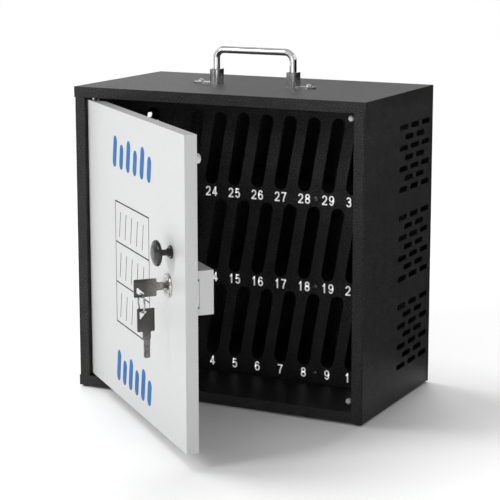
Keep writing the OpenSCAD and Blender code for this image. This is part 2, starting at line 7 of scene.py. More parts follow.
import json
import logging
import math
from dataclasses import dataclass, field
from enum import Enum
from typing import ClassVar, Iterable, Sequence

import bmesh
import bpy
from mathutils import Matrix, Vector

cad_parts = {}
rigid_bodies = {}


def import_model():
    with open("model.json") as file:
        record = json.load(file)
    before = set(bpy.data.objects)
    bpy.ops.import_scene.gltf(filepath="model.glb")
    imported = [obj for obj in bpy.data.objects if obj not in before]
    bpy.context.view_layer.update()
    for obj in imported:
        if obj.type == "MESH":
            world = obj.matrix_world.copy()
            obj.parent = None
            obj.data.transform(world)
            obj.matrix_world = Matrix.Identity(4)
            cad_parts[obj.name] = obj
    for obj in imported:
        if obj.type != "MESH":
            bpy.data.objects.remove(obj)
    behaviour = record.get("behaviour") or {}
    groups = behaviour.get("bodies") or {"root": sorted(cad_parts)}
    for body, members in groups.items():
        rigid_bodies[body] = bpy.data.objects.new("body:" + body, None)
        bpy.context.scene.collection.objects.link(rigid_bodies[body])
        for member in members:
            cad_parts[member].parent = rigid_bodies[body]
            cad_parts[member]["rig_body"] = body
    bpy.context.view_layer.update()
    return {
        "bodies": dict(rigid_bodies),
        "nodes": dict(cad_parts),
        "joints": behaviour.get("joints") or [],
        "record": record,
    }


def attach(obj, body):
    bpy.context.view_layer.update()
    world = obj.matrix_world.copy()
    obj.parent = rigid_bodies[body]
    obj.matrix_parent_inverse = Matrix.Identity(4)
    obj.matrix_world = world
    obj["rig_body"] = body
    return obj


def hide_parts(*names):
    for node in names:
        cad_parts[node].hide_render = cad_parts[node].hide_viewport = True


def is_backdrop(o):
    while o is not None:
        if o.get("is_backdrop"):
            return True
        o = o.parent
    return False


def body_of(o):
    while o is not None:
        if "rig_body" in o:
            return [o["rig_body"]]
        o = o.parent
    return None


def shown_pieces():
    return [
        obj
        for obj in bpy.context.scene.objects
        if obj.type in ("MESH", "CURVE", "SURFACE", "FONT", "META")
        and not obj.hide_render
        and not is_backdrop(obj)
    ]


LOG = logging.getLogger("locker")
MM = 0.001
IMAGE_PX = 500
WHITE = (1.0, 1.0, 1.0, 1.0)
NOISE_MEAN = 0.5
# Distances under which points count as one, or as level, in a mesh's own unit.
DOUBLES = 1e-5
SEAM = 1e-4
LEVEL = 1e-6
# Edges of a plate that are sharper than this, in degrees, are its rims.
RIM_DEG = 60
# Steps of a stroke's round end.
END_STEPS = 8

Span = tuple[float, float]
Point2 = tuple[float, float]
Triple = tuple[float, float, float]
Rect = tuple[float, float, float, float]


class Slot(Enum):
    """The record's material slots."""

    CABINET = "cabinet_coat"
    DOOR = "door_coat"
    BUFFER = "buffer_white"
    PAD = "pad_rubber"
    STEEL = "bright_steel"
    HANDLE = "handle_chrome"
    BRACKET = "bracket_steel"
    KNOB = "knob_black"
    LOCK = "lock_nickel"
    KEY = "key_steel"
    RING = "ring_steel"


class Sock:
    """A shader value that can be used in plain arithmetic; each operation adds one Math node."""

    def __init__(self, tree: bpy.types.NodeTree, socket: bpy.types.NodeSocket) -> None:
        """Wraps an output socket of a tree."""
        self.tree = tree
        self.socket = socket

    def _math(self, operation: str, *values: "Sock | float") -> "Sock":
        """Adds a Math node.

        Args:
            operation: Name of the operation.
            values: Sockets or numbers for its inputs, in order.

        Returns:
            The node's result.
        """
        node = self.tree.nodes.new("ShaderNodeMath")
        node.operation = operation
        for slot, value in zip(node.inputs, values):
            if isinstance(value, Sock):
                self.tree.links.new(value.socket, slot)
            else:
                slot.default_value = value
        return Sock(self.tree, node.outputs[0])

    def __add__(self, other: "Sock | float") -> "Sock":
        """Sum."""
        return self._math("ADD", self, other)

    __radd__ = __add__

    def __mul__(self, other: "Sock | float") -> "Sock":
        """Product."""
        return self._math("MULTIPLY", self, other)

    __rmul__ = __mul__

    def __sub__(self, other: "Sock | float") -> "Sock":
        """Difference."""
        return self._math("SUBTRACT", self, other)

    def __rsub__(self, other: float) -> "Sock":
        """Difference with the number first."""
        return self._math("SUBTRACT", other, self)

    def clamp(self) -> "Sock":
        """The value held between 0 and 1."""
        return self._math("MINIMUM", self._math("MAXIMUM", self, 0.0), 1.0)

    def power(self, exponent: float) -> "Sock":
        """The value raised to a power."""
        return self._math("POWER", self, exponent)


class Shader:
    """The node tree of a material or a world, with the few nodes that the finishes share."""

    COLOUR_A, COLOUR_B, COLOUR_OUT = 6, 7, 2

    def __init__(self, name: str, world: bpy.types.World | None = None) -> None:
        """Makes an empty node material, or empties a world's nodes where one is given.

        Args:
            name: The material's name.
            world: The world, or None.
        """
        self.material = world or bpy.data.materials.new(name)
        self.material.use_nodes = True
        self.tree = self.material.node_tree
        self.tree.nodes.clear()
        self.output = self.node("ShaderNodeOutputWorld" if world else "ShaderNodeOutputMaterial")

    def node(self, kind: str, settings: dict[str, object] | None = None,
             inputs: dict[str | int, object] | None = None) -> bpy.types.Node:
        """Adds any node.

        Args:
            kind: The node's type.
            settings: Its properties, set before its sockets; "stops" sets a ramp's positions and greys.
            inputs: Values or links for its sockets, by name or number.

        Returns:
            The node.
        """
        made = self.tree.nodes.new(kind)
        for key, value in (settings or {}).items():
            if key == "stops":
                for element, (position, tone) in zip(made.color_ramp.elements, value):
                    element.position = position
                    element.color = (*grey(tone), 1.0)
            else:
                setattr(made, key, value)
        for key, value in (inputs or {}).items():
            source = value.socket if isinstance(value, Sock) else value
            if isinstance(source, bpy.types.NodeSocket):
                self.tree.links.new(source, made.inputs[key])
            else:
                made.inputs[key].default_value = source
        return made

    def where(self) -> bpy.types.NodeSocket:
        """The piece's own coordinates."""
        return self.node("ShaderNodeTexCoord").outputs["Object"]

    def noise(self, scale: float, detail: float = 2.0, roughness: float = 0.5,
              stretch: Triple = (1.0, 1.0, 1.0)) -> Sock:
        """A noise value between about 0.3 and 0.7.

        Args:
            scale: Features for each metre.
            detail: Number of octaves.
            roughness: How strong the finer octaves are.
            stretch: Scale along the three axes.

        Returns:
            The noise.
        """
        mapping = self.node("ShaderNodeMapping", inputs={"Vector": self.where(), "Scale": stretch})
        made = self.node("ShaderNodeTexNoise", inputs={
            "Vector": mapping.outputs["Vector"], "Scale": scale, "Detail": detail, "Roughness": roughness})
        return Sock(self.tree, made.outputs["Fac"])

    def ramp(self, value: Sock, span: Span) -> Sock:
        """Spreads a span of a value over 0 to 1."""
        made = self.node("ShaderNodeValToRGB", {"stops": zip(span, (0.0, 1.0))}, {"Fac": value})
        return Sock(self.tree, made.outputs["Color"])

    def blend(self, factor: Sock, first: Triple, second: Triple) -> bpy.types.NodeSocket:
        """Mixes two colours.

        Args:
            factor: Share of the second.
            first: The first colour.
            second: The second colour.

        Returns:
            The colour socket.
        """
        made = self.node("ShaderNodeMix", {"data_type": "RGBA"}, {
            "Factor": factor, self.COLOUR_A: (*first, 1.0), self.COLOUR_B: (*second, 1.0)})
        return made.outputs[self.COLOUR_OUT]

    def relief(self, height: Sock, depth_mm: float) -> bpy.types.NodeSocket:
        """A bump normal for a relief that is so many millimetres deep at height 1."""
        made = self.node("ShaderNodeBump", inputs={"Height": height, "Distance": depth_mm * MM})
        return made.outputs["Normal"]

    def glow(self, strength: float) -> bpy.types.Node:
        """A white emission."""
        return self.node("ShaderNodeEmission", inputs={"Color": WHITE, "Strength": strength})

    def finish(self, shader: bpy.types.Node) -> bpy.types.Material:
        """Sends a shader to the output and gives the finished material."""
        self.tree.links.new(shader.outputs[0], self.output.inputs["Surface"])
        return self.material

    def surface(self, inputs: dict[str, object]) -> bpy.types.Material:
        """Ends the tree with a principled shader, given values or links for its sockets."""
        return self.finish(self.node("ShaderNodeBsdfPrincipled", inputs=inputs))


def grey(tone: float) -> Triple:
    """A neutral colour."""
    return tone, tone, tone


@dataclass(frozen=True)
class PowderCoat:
    """Powder coat: a mottled film with a fine relief, whose relief crests are painted towards a second
    colour.
    """

    name: str
    colour: Triple
    fleck: Triple
    depth_mm: float
    roughness: float
    index: float = 1.5
    grain: float = 700.0
    broad_share: float = 0.08
    fine_share: float = 2.7
    crest_span: Span = (0.44, 0.62)
    crest_weight: float = 0.8
    cloud_weight: float = 0.4
    crest_rough: float = 0.10
    fine_rough: float = 0.08
    fine_height: float = 0.25

    def build(self) -> bpy.types.Material:
        """Makes the material.

        Returns:
            The material.
        """
        tree = Shader(self.name)
        grain = tree.noise(self.grain, detail=3.0, roughness=0.6)
        broad = tree.noise(self.grain * self.broad_share)
        fine = tree.noise(self.grain * self.fine_share)
        crest = tree.ramp(grain, self.crest_span)
        cloud = (broad - NOISE_MEAN) * self.cloud_weight + (fine - NOISE_MEAN) * self.cloud_weight
        smooth = self.roughness - (self.crest_rough + self.fine_rough) / 2
        height = grain * (1 - self.fine_height) + fine * self.fine_height
        return tree.surface({
            # The crests of the relief take the second colour, so on the charcoal coat they are painted
            # glints; the broad and fine clouds are random mottle.
            "Base Color": tree.blend((crest * self.crest_weight + cloud).clamp(), self.colour, self.fleck),
            "Roughness": crest * self.crest_rough + fine * self.fine_rough + smooth,
            "IOR": self.index,
            "Normal": tree.relief(height, self.depth_mm),
        })


@dataclass(frozen=True)
class Metal:
    """Bare or plated metal with drawn lines or a tumbled surface; its lines can also be painted as dark and
    bright bands, a painted reflection.
    """

    name: str
    colour: Triple
    roughness: float
    spread: float = 0.08
    grain: float = 400.0
    stretch: Triple = (1.0, 1.0, 1.0)
    depth_mm: float = 0.01
    dull: Triple | None = None
    bands: float = 0.0
    streak_span: Span = (0.38, 0.58)
    stain_scale: float = 60.0
    stain_span: Span = (0.35, 0.70)
    stain_rough: float = 0.6
    stain_tone: float = 0.82

    def build(self) -> bpy.types.Material:
        """Makes the material.

        Returns:
            The material.
        """
        tree = Shader(self.name)
        lines = tree.noise(self.grain, detail=3.0, roughness=0.6, stretch=self.stretch)
        band_mask = tree.ramp(lines, self.streak_span)
        stain = tree.ramp(tree.noise(self.stain_scale, detail=4.0, roughness=0.65), self.stain_span)
        dull = self.dull or tuple(self.stain_tone * part for part in self.colour)
        uneven = (lines - NOISE_MEAN) * (2 * self.spread) + stain * (self.spread * self.stain_rough)
        return tree.surface({
            # Where the band share is set, the colour follows the stretched lines as dark and bright bands: a
            # painted reflection.
            "Base Color": tree.blend(stain * (1 - self.bands) + band_mask * self.bands, self.colour, dull),
            "Metallic": 1.0,
            "Roughness": uneven + self.roughness,
            "Normal": tree.relief(lines, self.depth_mm),
        })


@dataclass(frozen=True)
class Plastic:
    """Moulded plastic, rubber or a printed ink film."""

    name: str
    colour: Triple
    roughness: float
    shade: float = 0.85
    # A glow above 0 makes the surface give light though it is no lamp: painted light.
    glow: float = 0.0
    index: float = 1.5
    grain: float = 900.0
    depth_mm: float = 0.02
    cloud_scale: float = 45.0
    cloud_span: Span = (0.35, 0.70)
    grain_rough: float = 0.12
    cloud_rough: float = 0.05

    def build(self) -> bpy.types.Material:
        """Makes the material.

        Returns:
            The material.
        """
        tree = Shader(self.name)
        grain = tree.noise(self.grain)
        cloud = tree.ramp(tree.noise(self.cloud_scale, detail=3.0), self.cloud_span)
        dark = tuple(self.shade * part for part in self.colour)
        uneven = (grain - NOISE_MEAN) * self.grain_rough + cloud * self.cloud_rough
        return tree.surface({
            "Base Color": tree.blend(cloud, self.colour, dark),
            "Roughness": uneven + self.roughness,
            "Emission Color": WHITE,
            "Emission Strength": self.glow,
            "IOR": self.index,
            "Normal": tree.relief(grain, self.depth_mm),
        })


@dataclass(frozen=True)
class KeySteel:
    """Key steel, dark on the bow and painted brighter towards the blade: a painted sheen, broken by
    scratches.
    """

    name: str
    shoulder: Vector
    towards_tip: Vector
    bow: Triple = (0.075, 0.073, 0.071)
    blade: Triple = (0.42, 0.41, 0.40)
    wear_mm: Span = (-15.0, 4.0)
    wear_power: float = 1.4
    mottle: float = 0.45
    scratches: float = 900.0
    scratch_span: Span = (0.44, 0.56)
    roughness: float = 0.30
    spread: float = 0.15
    depth_mm: float = 0.006

    def build(self) -> bpy.types.Material:
        """Makes the material.

        Returns:
            The material.
        """
        tree = Shader(self.name)
        away = tree.node("ShaderNodeVectorMath", {"operation": "SUBTRACT"},
                         {0: tree.where(), 1: self.shoulder})
        along = tree.node("ShaderNodeVectorMath", {"operation": "DOT_PRODUCT"},
                          {0: away.outputs["Vector"], 1: self.towards_tip})
        # The colour runs from the dark bow to the bright blade along the key: a painted sheen.
        low, high = (end * MM for end in self.wear_mm)
        reach = (Sock(tree.tree, along.outputs["Value"]) - low) * (1 / (high - low))
        scratch = tree.noise(self.scratches)
        bright = tree.ramp(scratch, self.scratch_span)
        sheen_and_scratches = (reach.clamp() * (bright * self.mottle + (1 - self.mottle))).clamp()
        return tree.surface({
            "Base Color": tree.blend(sheen_and_scratches.power(self.wear_power), self.bow, self.blade),
            "Metallic": 1.0,
            "Roughness": (scratch - NOISE_MEAN) * self.spread + self.roughness,
            "Normal": tree.relief(scratch, self.depth_mm),
        })


class Finishes:
    """Every finish of the cabinet, by material slot and by name."""

    def __init__(self) -> None:
        """Builds the materials."""
        made = {
            # The charcoal coat's much lighter crest colour paints glints on its wrinkles.
            Slot.CABINET: PowderCoat("charcoal_coat", (0.0090, 0.0088, 0.0086), (0.066, 0.065, 0.064),
                                     depth_mm=0.48, roughness=0.42, index=1.26),
            Slot.DOOR: PowderCoat("pale_grey_coat", (0.675, 0.677, 0.68), (0.65, 0.652, 0.655),
                                  depth_mm=0.015, roughness=0.40),
            Slot.BUFFER: Plastic("white_buffer", (0.78, 0.78, 0.76), 0.45),
            Slot.PAD: Plastic("pad_rubber", grey(0.025), 0.75),
            Slot.STEEL: Metal("zinc_plate", (0.56, 0.56, 0.55), 0.26),
            Slot.HANDLE: Metal("chrome", grey(0.80), 0.06, spread=0.04, grain=300.0,
                               stretch=(0.2, 1.0, 1.0), depth_mm=0.002),
            # The bracket's steel is painted with upright dark and bright bands, a painted reflection.
            Slot.BRACKET: Metal("nickel_bracket", grey(0.68), 0.20, spread=0.06, grain=300.0,
                                stretch=(1.0, 1.0, 0.03), dull=grey(0.20), bands=0.85),
            Slot.KNOB: Plastic("black_knob", (0.009, 0.009, 0.010), 0.16),
            Slot.LOCK: Metal("lock_nickel", (0.50, 0.495, 0.49), 0.10, spread=0.04, grain=500.0,
                             depth_mm=0.003),
            Slot.KEY: Metal("key_steel", (0.20, 0.195, 0.19), 0.30, grain=900.0,
                            stretch=(1.0, 1.0, 0.15), depth_mm=0.006),
            Slot.RING: Metal("ring_steel", grey(0.40), 0.12, spread=0.04),
        }
        self.by_slot = {slot: finish.build() for slot, finish in made.items()}
        # A darker steel; on the lock's plug it is painted shade in the rose's recessed centre.
        self.dark_steel = Metal("dark_steel", (0.16, 0.155, 0.15), 0.34).build()
        # The white ink glows a little, painted light that lifts the numbers in the cabinet's shade.
        self.white_ink = Plastic("white_ink", grey(0.95), 0.50, shade=0.97, glow=0.3).build()
        self.blue_ink = Plastic("blue_ink", (0.050, 0.190, 0.47), 0.50, shade=0.88, index=1.12).build()
        self.black_ink = Plastic("black_ink", (0.015, 0.015, 0.017), 0.50, index=1.12).build()


def arc(centre: Point2, radius: float, start: float, end: float, steps: int) -> list[Point2]:
    """Points of a circular arc.

    Args:
        centre: Centre of the arc.
        radius: Its radius.
        start: First angle in degrees.
        end: Last angle in degrees.
        steps: Number of steps.

    Returns:
        The points.
    """
    angles = (math.radians(start + (end - start) * i / steps) for i in range(steps + 1))
    return [(centre[0] + radius * math.cos(a), centre[1] + radius * math.sin(a)) for a in angles]


def circle(centre: Point2, radius: float, steps: int) -> list[Point2]:
    """Points of a full circle, each of them once."""
    return arc(centre, radius, 0, 360, steps)[:-1]


def rounded(corners: Sequence[Triple], closed: bool = True, steps: int = 6) -> list[Point2]:
    """Rounds the corners of an outline.

    Args:
        corners: Corners as (x, y, radius).
        closed: Whether the last corner joins the first.
        steps: Steps of each arc.

    Returns:
        The outline's points.
    """
    made: list[Point2] = []
    count = len(corners)
    for i, (x, y, radius) in enumerate(corners):
        is_end = not closed and i in (0, count - 1)
        if radius <= 0 or is_end:
            made.append((x, y))
            continue
        here = Vector((x, y))
        before = (Vector(corners[i - 1][:2]) - here).normalized()
        after = (Vector(corners[(i + 1) % count][:2]) - here).normalized()
        half = before.angle(after) / 2
        reach = radius / math.tan(half)
        centre = here + (before + after).normalized() * (radius / math.sin(half))
        start, end = here + before * reach - centre, here + after * reach - centre
        first = math.degrees(math.atan2(start.y, start.x))
        turn = math.degrees(math.atan2(start.x * end.y - start.y * end.x, start.dot(end)))
        made.extend(arc(tuple(centre), radius, first, first + turn, steps))
    return made


def as_data(name: str, mesh: bmesh.types.BMesh) -> bpy.types.Mesh:
    """Writes a mesh to a data block and frees it.

    Args:
        name: The data block's name.
        mesh: The mesh.

    Returns:
        The data block.
    """
    data = bpy.data.meshes.new(name)
    mesh.to_mesh(data)
    mesh.free()
    return data


def in_scene(name: str, data: bpy.types.ID) -> bpy.types.Object:
    """Makes an object of a mesh, lamp or camera and links it to the scene.

    Args:
        name: The object's name.
        data: What it holds.

    Returns:
        The object.
    """
    made = bpy.data.objects.new(name, data)
    bpy.context.scene.collection.objects.link(made)
    return made


@dataclass(frozen=True)
class Axes:
    """A sub-assembly's own axes: x along the door, y up, z out of its face."""

    origin: Vector
    along: Vector
    out: Vector

    def matrix(self) -> Matrix:
        """The matrix from these axes, in millimetres, to the frame, in metres.

        Returns:
            The matrix.
        """
        up = self.out.cross(self.along)
        turn = Matrix((self.along, up, self.out)).transposed().to_4x4()
        return Matrix.Translation(self.origin) @ turn @ Matrix.Scale(MM, 4)

    def moved(self, x: float = 0.0, y: float = 0.0, z: float = 0.0) -> "Axes":
        """The same axes from another point, given in millimetres."""
        return Axes(self.matrix() @ Vector((x, y, z)), self.along, self.out)

    def seat_behind(self) -> Matrix:
        """A seat at the origin, in metres, for a piece that faces away from the door's face."""
        return self.matrix() @ Matrix.Scale(1 / MM, 4) @ Matrix.Rotation(math.pi, 4, "Y")


class Shop:
    """Makes mesh pieces and hands them to the frame."""

    def __init__(self, finishes: Finishes) -> None:
        """Keeps the finishes."""
        self.finishes = finishes
        self.count = 0

    def add(self, name: str, mesh: bmesh.types.BMesh, axes: Axes | Matrix, body: str, slot: Slot | None,
            material: bpy.types.Material | None = None, replaces: Iterable[str] = (),
            smooth_deg: float = 35.0) -> None:
        """Puts a finished mesh on its body.

        Args:
            name: Name of the piece.
            mesh: Its mesh, in its own axes; it is freed.
            axes: Where it stands.
            body: The body that it rides on.
            slot: The record's slot, or None.
            material: A finish of its own in place of the slot's.
            replaces: The nodes that it stands for.
            smooth_deg: Edges sharper than this stay sharp.
        """
        place = axes.matrix() if isinstance(axes, Axes) else axes
        bmesh.ops.remove_doubles(mesh, verts=mesh.verts, dist=DOUBLES)
        bmesh.ops.recalc_face_normals(mesh, faces=mesh.faces)
        bmesh.ops.transform(mesh, matrix=place, verts=mesh.verts)
        data = as_data(name, mesh)
        data.polygons.foreach_set("use_smooth", [True] * len(data.polygons))
        data.set_sharp_from_angle(angle=math.radians(smooth_deg))
        data.update()
        made = in_scene(name, data)
        data.materials.append(material or self.finishes.by_slot[slot])
        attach(made, body)
        if replaces:
            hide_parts(*replaces)
        self.count += 1
        LOG.info("%s: %d faces on %s", name, len(data.polygons), body)


def revolve(profile: Sequence[Point2], steps: int = 48) -> bmesh.types.BMesh:
    """Spins a profile of (radius, height) about the z axis.

    Args:
        profile: The profile's points.
        steps: Steps of the full turn.

    Returns:
        The mesh.
    """
    mesh = bmesh.new()
    verts = [mesh.verts.new((radius, 0, height)) for radius, height in profile]
    edges = [mesh.edges.new(pair) for pair in zip(verts, verts[1:])]
    bmesh.ops.spin(mesh, geom=[*verts, *edges], cent=(0, 0, 0), axis=(0, 0, 1), angle=math.tau,
                   steps=steps, use_merge=True, use_duplicate=False)
    bmesh.ops.remove_doubles(mesh, verts=mesh.verts, dist=SEAM)
    return mesh


def plate(outline: Sequence[Point2], thickness: float, holes: Sequence[Sequence[Point2]] = (),
          chamfer: float = 0.0) -> bmesh.types.BMesh:
    """A flat plate between z = 0 and its thickness.

    Args:
        outline: Its outline.
        thickness: Its thickness.
        holes: Outlines of its holes.
        chamfer: Width of the rounding on its rims.

    Returns:
        The mesh.
    """
    mesh = bmesh.new()
    edges: list[bmesh.types.BMEdge] = []
    for loop in (outline, *holes):
        verts = [mesh.verts.new((x, y, 0)) for x, y in loop]
        edges.extend(mesh.edges.new((verts[i - 1], verts[i])) for i in range(len(verts)))
    bmesh.ops.triangle_fill(mesh, edges=edges, use_beauty=True, use_dissolve=False)
    raised = bmesh.ops.extrude_face_region(mesh, geom=mesh.faces[:], use_keep_orig=True)
    top = [item for item in raised["geom"] if isinstance(item, bmesh.types.BMVert)]
    bmesh.ops.translate(mesh, vec=(0, 0, thickness), verts=top)
    bmesh.ops.recalc_face_normals(mesh, faces=mesh.faces)
    if chamfer:
        rims = [edge for edge in mesh.edges
                if edge.is_manifold and edge.calc_face_angle() > math.radians(RIM_DEG)
                and abs(edge.verts[0].co.z - edge.verts[1].co.z) < LEVEL]
        bmesh.ops.bevel(mesh, geom=rims, offset=chamfer, affect="EDGES", segments=2, profile=0.5,
                        material=-1, clamp_overlap=True)
    return mesh


def joined(meshes: Iterable[bmesh.types.BMesh]) -> bmesh.types.BMesh:
    """Joins meshes into one.

    Args:
        meshes: The meshes, which are freed.

    Returns:
        The new mesh.
    """
    made = bmesh.new()
    for mesh in meshes:
        data = as_data("scratch", mesh)
        made.from_mesh(data)
        bpy.data.meshes.remove(data)
    return made


def shifted(mesh: bmesh.types.BMesh, x: float = 0.0, y: float = 0.0, z: float = 0.0,
            turn: Matrix | None = None) -> bmesh.types.BMesh:
    """Turns a mesh, then moves it.

    Args:
        mesh: The mesh, which is changed.
        x: Its way along x.
        y: Its way along y.
        z: Its way along z.
        turn: A matrix that is applied first.

    Returns:
        The same mesh.
    """
    if turn is not None:
        bmesh.ops.transform(mesh, matrix=turn, verts=mesh.verts)
    bmesh.ops.translate(mesh, vec=(x, y, z), verts=mesh.verts)
    return mesh


def bar(start: Point2, end: Point2, width: float, thickness: float) -> bmesh.types.BMesh:
    """A flat stroke with round ends.

    Args:
        start: Middle of its first end.
        end: Middle of its last end.
        width: Its width.
        thickness: Its thickness.

    Returns:
        The mesh.
    """
    along, up, half = end[0] - start[0], end[1] - start[1], width / 2
    far = (math.hypot(along, up), 0)
    outline = [*arc(far, half, -90, 90, END_STEPS), *arc((0, 0), half, 90, 270, END_STEPS)]
    turn = Matrix.Rotation(math.atan2(up, along), 4, "Z")
    return shifted(plate(outline, thickness), *start, turn=turn)


def from_curve(points: Sequence[Vector], radius: float, around: int = 4) -> bmesh.types.BMesh:
    """A round wire along a line of points.

    Args:
        points: The points of its middle line.
        radius: Its radius.
        around: The curve's bevel resolution.

    Returns:
        The mesh.
    """
    curve = bpy.data.curves.new("scratch", "CURVE")
    curve.dimensions = "3D"
    curve.bevel_depth = radius
    curve.bevel_resolution = around
    curve.use_fill_caps = True
    line = curve.splines.new("POLY")
    line.points.add(len(points) - 1)
    for spot, point in zip(line.points, points):
        spot.co = (*point, 1.0)
    scratch = bpy.data.objects.new("scratch", curve)
    data = bpy.data.meshes.new_from_object(scratch)
    mesh = bmesh.new()
    mesh.from_mesh(data)
    bpy.data.objects.remove(scratch)
    bpy.data.curves.remove(curve)
    bpy.data.meshes.remove(data)
    return mesh


def ribbon(line: Sequence[Point2], width: float, thickness: float,
           closed: bool = False) -> bmesh.types.BMesh:
    """A flat stroke of even width along a smooth line.

    Args:
        line: Points of its middle line.
        width: Width of the stroke.
        thickness: Thickness of the film.
        closed: Whether the line is a loop.

    Returns:
        The mesh.
    """
    count = len(line)
    left: list[Point2] = []
    right: list[Point2] = []
    for i, (x, y) in enumerate(line):
        before = line[i - 1] if closed or i else line[i]
        after = line[(i + 1) % count] if closed or i < count - 1 else line[i]
        along, up = after[0] - before[0], after[1] - before[1]
        share = width / 2 / math.hypot(along, up)
        left.append((x - up * share, y + along * share))
        right.append((x + up * share, y - along * share))
    if closed:
        return plate(right, thickness, [left])
    return plate([*left, *reversed(right)], thickness)


@dataclass
class CadPieces:
    """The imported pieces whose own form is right: each gets its finish and soft edges."""

    shop: Shop
    nodes: dict[str, bpy.types.Object]
    slots: dict[str, Slot]
    edge_mm: float = 0.45
    fine_mm: float = 0.15
    fine: frozenset[Slot] = frozenset({Slot.STEEL, Slot.LOCK, Slot.KEY, Slot.RING, Slot.BUFFER})
    weld_m: float = 1e-6
    flat_deg: float = 0.2
    sharp_deg: float = 50.0

    def build(self) -> None:
        """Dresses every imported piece."""
        for name, piece in self.nodes.items():
            slot = self.slots[name]
            piece.data.materials.clear()
            piece.data.materials.append(self.shop.finishes.by_slot[slot])
            self.soften(piece, self.fine_mm if slot in self.fine else self.edge_mm)
            LOG.info("%s: packed piece, %s", name, slot.value)

    def soften(self, piece: bpy.types.Object, width_mm: float) -> None:
        """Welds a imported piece, clears its flat faces of lines and rounds its sharp edges.

        Args:
            piece: The piece.
            width_mm: Width of the rounding.
        """
        weld = piece.modifiers.new("weld", "WELD")
        weld.merge_threshold = self.weld_m
        flat = piece.modifiers.new("flat_faces", "DECIMATE")
        flat.decimate_type = "DISSOLVE"
        flat.angle_limit = math.radians(self.flat_deg)
        bevel = piece.modifiers.new("soft_edges", "BEVEL")
        bevel.width = width_mm * MM
        bevel.segments = 2
        bevel.limit_method = "ANGLE"
        bevel.angle_limit = math.radians(self.sharp_deg)
        bevel.face_strength_mode = "FSTR_ALL"
        even = piece.modifiers.new("even_normals", "WEIGHTED_NORMAL")
        even.mode = "FACE_AREA_WITH_ANGLE"
        even.use_face_influence = True
        even.keep_sharp = False


@dataclass
class Knob:
    """The round pull on the door."""

    shop: Shop
    axes: Axes
    reach: float = 22.5
    head_r: float = 15.0
    head_h: float = 9.0
    skirt_in: float = 2.2
    skirt_h: float = 0.9
    widest_h: float = 2.6
    shoulder_in: float = 0.6
    shoulder_h: float = 5.6
    crown_drop: float = 0.5
    foot_r: float = 7.7
    foot_h: float = 2.2
    collar_r: float = 4.8
    collar_h: float = 2.6
    neck_r: float = 3.5
    slope: float = 0.3
    around: int = 72

    def build(self) -> None:
        """Spins the foot, the neck and the mushroom head in one profile."""
        rim, collar = self.reach - self.head_h, self.foot_h + self.collar_h
        profile = rounded([
            (0, 0, 0), (self.foot_r, 0, 0.3), (self.foot_r, self.foot_h, 0.9),
            (self.collar_r, self.foot_h + self.slope, 0.4), (self.collar_r, collar, 0.7),
            (self.neck_r, collar + self.slope, 0.5), (self.neck_r, rim, 1.4),
            (self.head_r - self.skirt_in, rim + self.skirt_h, 1.2), (self.head_r, rim + self.widest_h, 1.6),
            (self.head_r - self.shoulder_in, rim + self.shoulder_h, 2.2),
            (self.head_r / 2, self.reach - self.crown_drop, 8.0), (0, self.reach, 0)], closed=False)
        self.shop.add("pull_knob", revolve(profile, self.around), self.axes, "door", Slot.KNOB,
                      replaces=["knob"])


